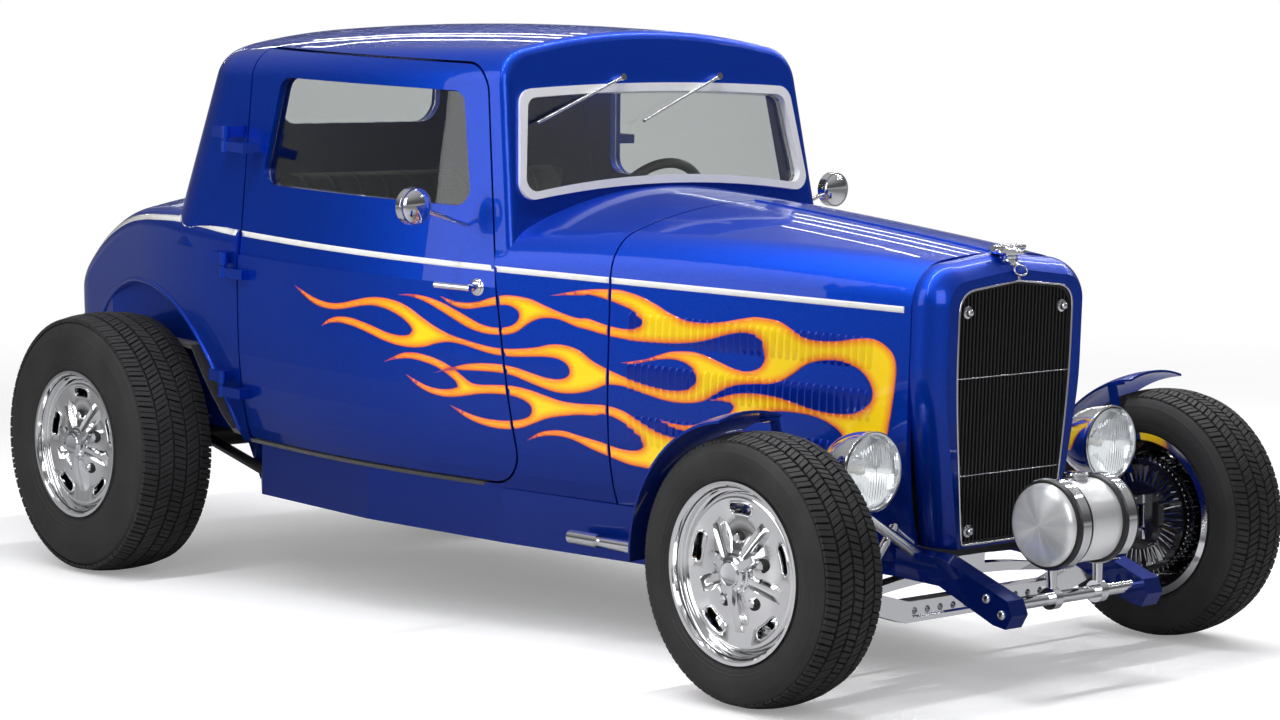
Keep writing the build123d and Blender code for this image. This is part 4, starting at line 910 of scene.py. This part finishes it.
rod("cap_wings", [[at(1.570, v, 1.0885 - 0.10 * v * v) for v in np.linspace(-0.055, 0.055, 13)]], 0.0075,
    chrome, "chassis")
print("grille edge points", len(loop))

# %% [markdown]
# The tank between the frame horns is spun aluminium. A lathe leaves rings that are too fine to see, but
# they stretch each highlight into a fan. Each point keeps the direction across those rings, and the shader
# reads that as its tangent. A second value per point is a painted highlight: it brightens a few wedges of
# the end caps in the base colour, so that the fan also shows under soft light.

# %% front tank
spun = finish("spun_aluminium", (0.80, 0.81, 0.83), 0.27, Metallic=0.6, Anisotropic=0.85)
nodes, links = spun.node_tree.nodes, spun.node_tree.links
tangent = nodes.new("ShaderNodeAttribute")
tangent.attribute_name = "across_rings"
links.new(tangent.outputs["Vector"], nodes["Principled BSDF"].inputs["Tangent"])
# painted highlight: a value per point brightens the base colour in a few wedges
sector, shade = nodes.new("ShaderNodeAttribute"), nodes.new("ShaderNodeMix")
sector.attribute_name, shade.data_type = "sector", "RGBA"
shade.inputs[6].default_value, shade.inputs[7].default_value = (0.58, 0.61, 0.64, 1), (1.0, 1.0, 1.0, 1)
links.new(sector.outputs["Fac"], shade.inputs[0])
links.new(shade.outputs[2], nodes["Principled BSDF"].inputs["Base Color"])
low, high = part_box("front_tank")
tank = Vector(((low[0] + high[0]) / 2, 0.0, 0.390))
end = [(0.130 - 0.008 * (r / 0.082) ** 2, r) for r in np.linspace(0.0, 0.082, 10)] + [(0.1195, 0.088),
    (0.115, 0.0935), (0.108, 0.0968)]
barrel = turned("tank_body", end + [(-y, r) for y, r in reversed(end)], tank, (0, 1, 0), spun, "chassis", 144)
across = []
for v in barrel.data.vertices:
    way = v.normal.cross(Vector((0, 1, 0)).cross(v.co - tank))
    across.append(tuple(way.normalized() if way.length > 1e-6 else Vector((1, 0, 0))))
# painted highlight: the bright wedges of the fan on the end caps, the rim at a steady level
fan = []
for v in barrel.data.vertices:
    a, r = math.atan2(v.co.z - tank.z, v.co.x - tank.x), math.hypot(v.co.z - tank.z, v.co.x - tank.x)
    fan.append(0.8 if r > 0.09 else 0.2 + 0.5 * abs(math.cos(a - 0.5)) ** 6
               + 0.3 * abs(math.cos(2.5 * a + 0.4)) ** 10 + 0.15 * abs(math.cos(7 * a)) ** 6)
barrel.data.attributes.new("sector", "FLOAT", "POINT").data.foreach_set("value", np.array(fan, np.float32))
barrel.data.attributes.new("across_rings", "FLOAT_VECTOR", "POINT").data.foreach_set("vector",
    np.array(across, np.float32).ravel())
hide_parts("front_tank")
turned("tank_filler", [(0.09, 0.0), (0.09, 0.028), (0.1, 0.028), (0.102, 0.0305), (0.110, 0.0305),
    (0.1135, 0.027), (0.115, 0.012), (0.115, 0.0)], tank, (0, 0, 1), chrome, "chassis", 64)
for i, y in enumerate((-0.08, 0.08)):
    turned(f"tank_liner_{i}", [(y - 0.026, 0.0955), (y - 0.026, 0.102), (y - 0.024, 0.1035),
        (y + 0.024, 0.1035), (y + 0.026, 0.102), (y + 0.026, 0.0955)],
           tank, (0, 1, 0), satin_black, "chassis", 96)
print("tank at", [round(c, 3) for c in tank])

# %% [markdown]
# Each wheel is polished on the outside and black inside, as a look past the left front lamp shows. The disc
# is filled with triangles round its five oval slots and set on its dished profile. Ridged spokes, slot
# lips, nuts, a three-eared spinner and a finned drum finish it.

# %% wheels
DISH = ((0.0, -0.014), (0.058, -0.017), (0.066, -0.024), (0.100, -0.031), (0.130, -0.034), (0.152, -0.030),
    (0.170, -0.024), (0.178, -0.030), (0.184, -0.048))
SLOT_R, SLOT_LONG, SLOT_WIDE = 0.146, 0.036, 0.0135


def dish(r):
    return float(np.interp(r, [p[0] for p in DISH], [p[1] for p in DISH]))


def slot_loop(angle, grow=0.0, count=28):
    # a stadium that lies along the rim
    out = []
    for t in np.linspace(0, math.tau, count, endpoint=False):
        reach = SLOT_LONG - SLOT_WIDE
        x = SLOT_R + (SLOT_WIDE + grow) * math.cos(t)
        s = math.copysign(reach, math.sin(t)) * (abs(math.sin(t)) > 1e-6) + (SLOT_WIDE + grow) * math.sin(t)
        turn = angle + s / SLOT_R
        out.append((x * math.cos(turn), x * math.sin(turn)))
    return out


slots = [slot_loop(math.radians(90 + 72 * k)) for k in range(5)]
circles = [[(r * math.cos(t), r * math.sin(t)) for t in np.linspace(0, math.tau, n, endpoint=False)]
           for r, n in ((0.04, 40), (0.06, 48), (0.08, 56), (0.10, 64), (0.12, 72), (0.166, 96), (0.172, 96),
           (0.178, 96), (0.184, 96))]
spots, lines = [], []
for loop in slots + [circles[0], circles[-1]]:
    lines += [(len(spots) + i, len(spots) + (i + 1) % len(loop)) for i in range(len(loop))]
    spots += [Vector(p) for p in loop]
spots += [Vector(p) for ring in circles[1:-1] for p in ring]
plate, _, plate_faces, _, _, _ = geometry.delaunay_2d_cdt(spots, lines, [], 0, 1e-7)


def in_slot(x, y):
    r, a = math.hypot(x, y), math.atan2(y, x)
    a = (a - math.radians(90) + math.radians(36)) % math.radians(72) - math.radians(36)
    along = max(abs(a) * SLOT_R - (SLOT_LONG - SLOT_WIDE), 0.0)
    return math.hypot(along, r - SLOT_R) < SLOT_WIDE * 0.97


keep = []
for face in plate_faces:
    x, y = sum((plate[i] for i in face), Vector((0, 0))) / len(face)
    if math.hypot(x, y) > 0.0395 and not in_slot(x, y):
        keep.append(face)

rings = []
for r, wide, high in ((0.046, 0.017, 0.008), (0.066, 0.019, 0.015), (0.090, 0.020, 0.015),
    (0.115, 0.021, 0.012), (0.132, 0.022, 0.007), (0.144, 0.022, -0.003)):
    y, top = dish(r), 0.62 * wide
    low_top = y + high - (0.005 if high > 0.009 else 0.001)
    rings.append([(r, y - 0.004, -wide), (r, y + high, -top), (r, low_top, -0.4 * top),
        (r, low_top, 0.4 * top), (r, y + high, top), (r, y - 0.004, wide)])
spoke = skin(rings)
ear = skin([[(r, y0, -z), (r, y1, -z * 0.7), (r, y1, z * 0.7), (r, y0, z)] for r, y0, y1, z in
            ((0.016, -0.010, 0.005, 0.016), (0.040, -0.006, 0.0045, 0.0132), (0.070, -0.004, 0.003, 0.0096),
            (0.082, -0.002, 0.0015, 0.008))])
nut = skin([[(r * math.cos(t), y, r * math.sin(t)) for t in np.linspace(0, math.tau, 6, endpoint=False)]
    for y, r in ((-0.006, 0.0105), (0.010, 0.0105), (0.014, 0.007))])
cup = skin([[(r * math.cos(t), y, r * math.sin(t)) for t in np.linspace(0, math.tau, 20, endpoint=False)]
    for y, r in ((-0.004, 0.017), (0.0012, 0.017), (0.0022, 0.015))])
fin = skin([[(x, y, -z), (x, y, z), (x, y + 0.052, z), (x, y + 0.052, -z)]
    for x, y, z in ((0.138, 0.004, 0.0017), (0.150, 0.004, 0.0014))])


def wheel(end, side, t, y0, y1, drum):
    tag = f"{end}_{'left' if side > 0 else 'right'}"
    body = f"{end}_wheel_{'left' if side > 0 else 'right'}"
    centre, axis = Vector((t["x"], 0, t["radius"])), (0, side, 0)
    front = Vector((t["x"], side * y1, t["radius"]))

    def ways(angles):
        for a in angles:
            out = Vector((math.cos(a), 0, math.sin(a)))
            yield Matrix((out, Vector(axis), out.cross(Vector(axis)))).transposed()

    rim = turned(f"wheel_{tag}_rim", [(y1, 0.2), (y1, 0.2075), (y1 - 0.010, 0.208), (y1 - 0.012, 0.192),
        (y1 - 0.058, 0.192), (y1 - 0.076, 0.168), (y0 + 0.058, 0.168),
                                      (y0 + 0.042, 0.192), (y0 + 0.012, 0.192), (y0 + 0.010, 0.208),
                                      (y0, 0.2075), (y0, 0.190), (y0 + 0.036, 0.184), (y0 + 0.052, 0.162),
                                      (y1 - 0.068, 0.162), (y1 - 0.058, 0.178), (y1 - 0.046, 0.1800),
                                      (y1 - 0.044, 0.1835), (y1 - 0.031, 0.1850), (y1 - 0.029, 0.1885),
                                      (y1 - 0.014, 0.1905), (y1 - 0.012, 0.1945), (y1 - 0.003, 0.1965)],
                                      centre, axis, polished, body, 128)
    turned(f"wheel_{tag}_inside", [(y0 + 0.001, 0.1892), (y0 + 0.036, 0.1832), (y0 + 0.052, 0.1612),
        (y1 - 0.068, 0.1612), (y1 - 0.068, 0.1595), (y0 + 0.050, 0.1595),
                                   (y0 + 0.034, 0.1815), (y0 + 0.001, 0.1875)], centre, axis, gloss_black,
                                   body, 96)
    points = [front + Vector((p.x, side * dish(p.length), p.y)) for p in plate]
    disc = piece(f"wheel_{tag}_disc", points, [f if side < 0 else f[::-1] for f in keep], polished, body)
    disc.data.materials.append(gloss_black)
    wall = disc.modifiers.new("wall", "SOLIDIFY")
    wall.thickness, wall.offset, wall.material_offset, wall.use_even_offset = 0.009, -1, 1, True
    bake(disc)
    disc.data.set_sharp_from_angle(angle=math.radians(40))
    lips = [[front + Vector((x, side * (dish(math.hypot(x, y)) + 0.0008), y))
        for x, y in slot_loop(math.radians(90 + 72 * k), 0.001)] for k in range(5)]
    rod(f"wheel_{tag}_lips", lips, 0.0028, chrome, body, cyclic=True)
    fifths = [math.radians(90 + 72 * k) for k in range(5)]
    scatter(f"wheel_{tag}_spokes", [(front, w) for w in ways([a + math.radians(36) for a in fifths])], spoke,
        polished, body)
    seats = [(front + w @ Vector((0.079, dish(0.079), 0)), w) for w in ways(fifths)]
    scatter(f"wheel_{tag}_cups", seats, cup, near_black, body)
    scatter(f"wheel_{tag}_nuts", seats, nut, chrome, body)
    turned(f"wheel_{tag}_hub", [(y1 - 0.05, 0.0), (y1 - 0.05, 0.052), (y1 - 0.016, 0.052),
        (y1 - 0.014, 0.047), (y1 - 0.008, 0.046), (y1 - 0.007, 0.041), (y1 + 0.001, 0.039),
                                (y1 + 0.003, 0.034), (y1 + 0.0035, 0.031), (y1 + 0.007, 0.029),
                                (y1 + 0.0078, 0.026), (y1 + 0.0072, 0.024), (y1 + 0.0072, 0.0)], centre, axis,
                                chrome, body, 64)
    scatter(f"wheel_{tag}_ears", [(front, w) for w in ways([math.radians(30 + 120 * k) for k in range(3)])],
        ear, chrome, body)
    d0, d1 = drum
    turned(f"wheel_{tag}_drum", [(d0, 0.128), (d0, 0.1405), (d0 + 0.004, 0.142), (d1 - 0.006, 0.142),
        (d1, 0.138), (d1, 0.044), (d1 - 0.012, 0.044), (d1 - 0.012, 0.128)], centre, axis, chrome, body, 96)
    drum_at = Vector((t["x"], side * d0, t["radius"]))
    scatter(f"wheel_{tag}_fins", [(drum_at, w) for w in ways(np.linspace(0, math.tau, 56, endpoint=False))],
        fin, chrome, body)
    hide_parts(f"wheel_{tag}")


for side in (1, -1):
    wheel("front", side, FRONT, 0.614, 0.800, (0.620, 0.680))
    wheel("rear", side, REAR, 0.597, 0.832, (0.590, 0.680))
print("disc triangles", len(keep))

# %% [markdown]
# The bench seat is grey leather. Cushion and back start from their solids, a little smaller, get an even
# skin, and are then blown up by a short cloth simulation, which rounds them as stuffing would. The sewn
# channels are pressed in afterwards.

# %% seat pads
def pad(node, face_way, cap=0.024):
    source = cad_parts[node].data
    low, high = (Vector(c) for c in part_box(node))
    middle, size = (low + high) / 2, high - low
    points = [middle + Vector([(v.co[k] - middle[k]) * (1 - 0.03 / size[k]) for k in range(3)])
        for v in source.vertices]
    item = outward(piece(node + "_pad", points, [tuple(p.vertices) for p in source.polygons], leather,
        "chassis"))
    grid = item.modifiers.new("grid", "REMESH")
    grid.mode, grid.voxel_size, grid.use_smooth_shade = "VOXEL", 0.0105, True
    settle(item)
    rest = [v.co.copy() for v in item.data.vertices]
    cloth = item.modifiers.new("stuffing", "CLOTH")
    cloth.settings.quality, cloth.settings.use_pressure = 4, True
    cloth.settings.uniform_pressure_force = 4.0
    cloth.settings.effector_weights.gravity = 0.0
    cloth.point_cache.frame_start, cloth.point_cache.frame_end = 1, 20
    for step in range(1, 21):
        scene.frame_set(step)
    settle(item)
    scene.frame_set(1)
    for v, start in zip(item.data.vertices, rest):
        move = v.co - start
        v.co = start + move * min(1.0, cap / max(move.length, 1e-9))
        v.co = Vector([min(max(v.co[k], low[k] - (0.0 if k == 2 else 0.006)), high[k] + 0.006)
            for k in range(3)])
    soft = item.modifiers.new("soft", "SUBSURF")
    soft.levels = soft.render_levels = 1
    settle(item)
    dents = []
    for v in item.data.vertices:
        facing = max(v.normal.dot(face_way), 0.0)
        off = abs((v.co.y + 0.045) % 0.09 - 0.045)
        dents.append(v.normal * (-0.008 * facing * math.exp(-((off / 0.007) ** 2))))
    for v, dent in zip(item.data.vertices, dents):
        v.co += dent
    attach(item, "chassis")
    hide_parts(node)
    return item


pads = [pad("seat_cushion", Vector((0, 0, 1))), pad("seat_back", Vector((0.96, 0, 0.28)))]
print("pads", [(p.name, len(p.data.polygons)) for p in pads])

# %% [markdown]
# Hinge leaves are painted with the body, while handle and mirror on the same solid stay chrome, so their
# faces are told apart by how far back they lie. Mirrors get a domed back, handles a rosette, and the frame
# horns and tail lamps their bolts and rings. Brake plates are black with a ring of bright fins, and a bead
# runs round each rear wheel arch.

# %% small trim
for tag in ("left", "right"):
    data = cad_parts[f"door_trim_{tag}"].data
    data.materials.append(blue_paint)
    for face in data.polygons:
        face.material_index = 1 if local(face.center)[0] < -0.5 else 0
dome = [(0.002 + 0.026 * math.cos(t), 0.0475 * math.sin(t)) for t in np.linspace(math.pi / 2, 0, 12)]
button = knob(((-0.004, 0.0115), (0.002, 0.0115), (0.0045, 0.0105), (0.0065, 0.008), (0.0075, 0.004),
    (0.0076, 0.001)), 20)
for side in (1, -1):
    tag = "left" if side > 0 else "right"
    turned(f"mirror_head_{tag}", [(-0.0135, 0.0), (-0.0135, 0.044),
        (-0.012, 0.0475)] + dome[:-1] + [(0.028, 0.0)], at(0.241, side * 0.738, 1.102), ahead_u, chrome,
        f"door_{tag}", 64)
    p, n = on_side(f"door_{tag}", 0.305, 0.897, side)
    turned(f"handle_rosette_{tag}", [(-0.002, 0.0), (-0.002, 0.022), (0.002, 0.022), (0.004, 0.020),
        (0.0055, 0.0165), (0.0075, 0.016), (0.010, 0.0125), (0.011, 0.0)],
           p, n, chrome, f"door_{tag}", 48)
    out = Vector((0, side, 0))
    way = Matrix((out, ahead_u, out.cross(ahead_u))).transposed()
    scatter(f"horn_bolts_{tag}", [(at(u, side * 0.2652, w), way)
        for u, w in ((1.838, 0.284), (1.790, 0.314))], button, chrome, "chassis")
    turned(f"tail_lamp_ring_{tag}", [(-0.010, 0.0395), (-0.010, 0.046), (0.004, 0.046), (0.008, 0.043),
        (0.008, 0.0395)], at(-1.879, side * 0.33, 0.56), -ahead_u, chrome, "chassis", 64)
ridge = []
for u in np.linspace(0.705, 1.512, 40):
    hit = panels["hood_top"].ray_cast(at(u, 0.0, 1.4), at(0, 0, -1) - at(0, 0, 0))[0]
    if hit is not None:
        ridge.append(hit)
rod("hood_hinge", [ridge], 0.0042, blue_paint, "chassis")
blade = skin([[(r, 0.006, -0.0016), (r, 0.006, 0.0016), (r, -0.010, 0.0012), (r, -0.010, -0.0012)]
    for r in (0.086, 0.128)])
lip = [p for a, b, c in (((-1.646, 0.336), (-1.517, 0.641), (-1.190, 0.771)),
    ((-1.190, 0.771), (-0.846, 0.673), (-0.618, 0.336))) for p in arc_through(a, b, c, 40)]
for side in (1, -1):
    tag = "left" if side > 0 else "right"
    hub = Vector((FRONT["x"], side * 0.604, FRONT["radius"]))
    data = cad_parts[f"knuckle_{tag}"].data
    data.materials.append(gloss_black)
    for face in data.polygons:
        p = face.center
        face.material_index = 1 if 0.6035 < abs(p.y) < 0.6125 and math.hypot(p.x - hub.x,
            p.z - hub.z) > 0.05 else 0
    ways = []
    for a in np.linspace(0, math.tau, 44, endpoint=False):
        out, across = Vector((math.cos(a), 0, math.sin(a))), Vector((0, side, 0))
        ways.append(Matrix((out, across, out.cross(across))).transposed())
    scatter(f"plate_fins_{tag}", [(hub, way) for way in ways], blade, chrome, f"knuckle_{tag}")
    rod(f"arch_bead_{tag}", [[on_side("rear_body", u, w, side)[0] for u, w in lip if w > 0.40]], 0.0065,
        blue_paint, "chassis")
print("hood hinge points", len(ridge))

# %% [markdown]
# The floor is a plain pale sheet. It thins out with distance, so that it melts into the white behind it
# without an edge, and mirrors see it darker, as paint and chrome do in a hall with a dark floor. Seen
# directly, it glows a little, which keeps it near white.

# %% floor
floor_finish = finish("studio_floor", (0.9, 0.9, 0.91), haze=(0.5, 0.6), scale=3)
nodes, links = floor_finish.node_tree.nodes, floor_finish.node_tree.links
spot, far = nodes.new("ShaderNodeTexCoord"), nodes.new("ShaderNodeVectorMath")
fade = nodes.new("ShaderNodeMapRange")
clear, mix = nodes.new("ShaderNodeBsdfTransparent"), nodes.new("ShaderNodeMixShader")
far.operation, fade.interpolation_type = "LENGTH", "SMOOTHSTEP"
fade.inputs["From Min"].default_value, fade.inputs["From Max"].default_value = 2.2, 9.0
rays, shade = nodes.new("ShaderNodeLightPath"), nodes.new("ShaderNodeMix")
shade.data_type = "RGBA"
shade.inputs[6].default_value, shade.inputs[7].default_value = (0.9, 0.9, 0.91, 1), (0.36, 0.36, 0.37, 1)
nodes["Principled BSDF"].inputs["Emission Color"].default_value = (0.26, 0.26, 0.26, 1)
links.new(rays.outputs["Is Camera Ray"], nodes["Principled BSDF"].inputs["Emission Strength"])
links.new(rays.outputs["Is Glossy Ray"], shade.inputs[0])
links.new(shade.outputs[2], nodes["Principled BSDF"].inputs["Base Color"])
links.new(spot.outputs["Object"], far.inputs[0])
links.new(far.outputs["Value"], fade.inputs["Value"])
links.new(fade.outputs[0], mix.inputs["Fac"])
links.new(nodes["Principled BSDF"].outputs[0], mix.inputs[1])
links.new(clear.outputs[0], mix.inputs[2])
links.new(mix.outputs[0], nodes["Material Output"].inputs["Surface"])
bpy.ops.mesh.primitive_plane_add(size=24)
floor = bpy.context.object
floor.name = "floor"
floor.data.materials.append(floor_finish)
print("floor", round(floor.dimensions.x, 1), "m wide")
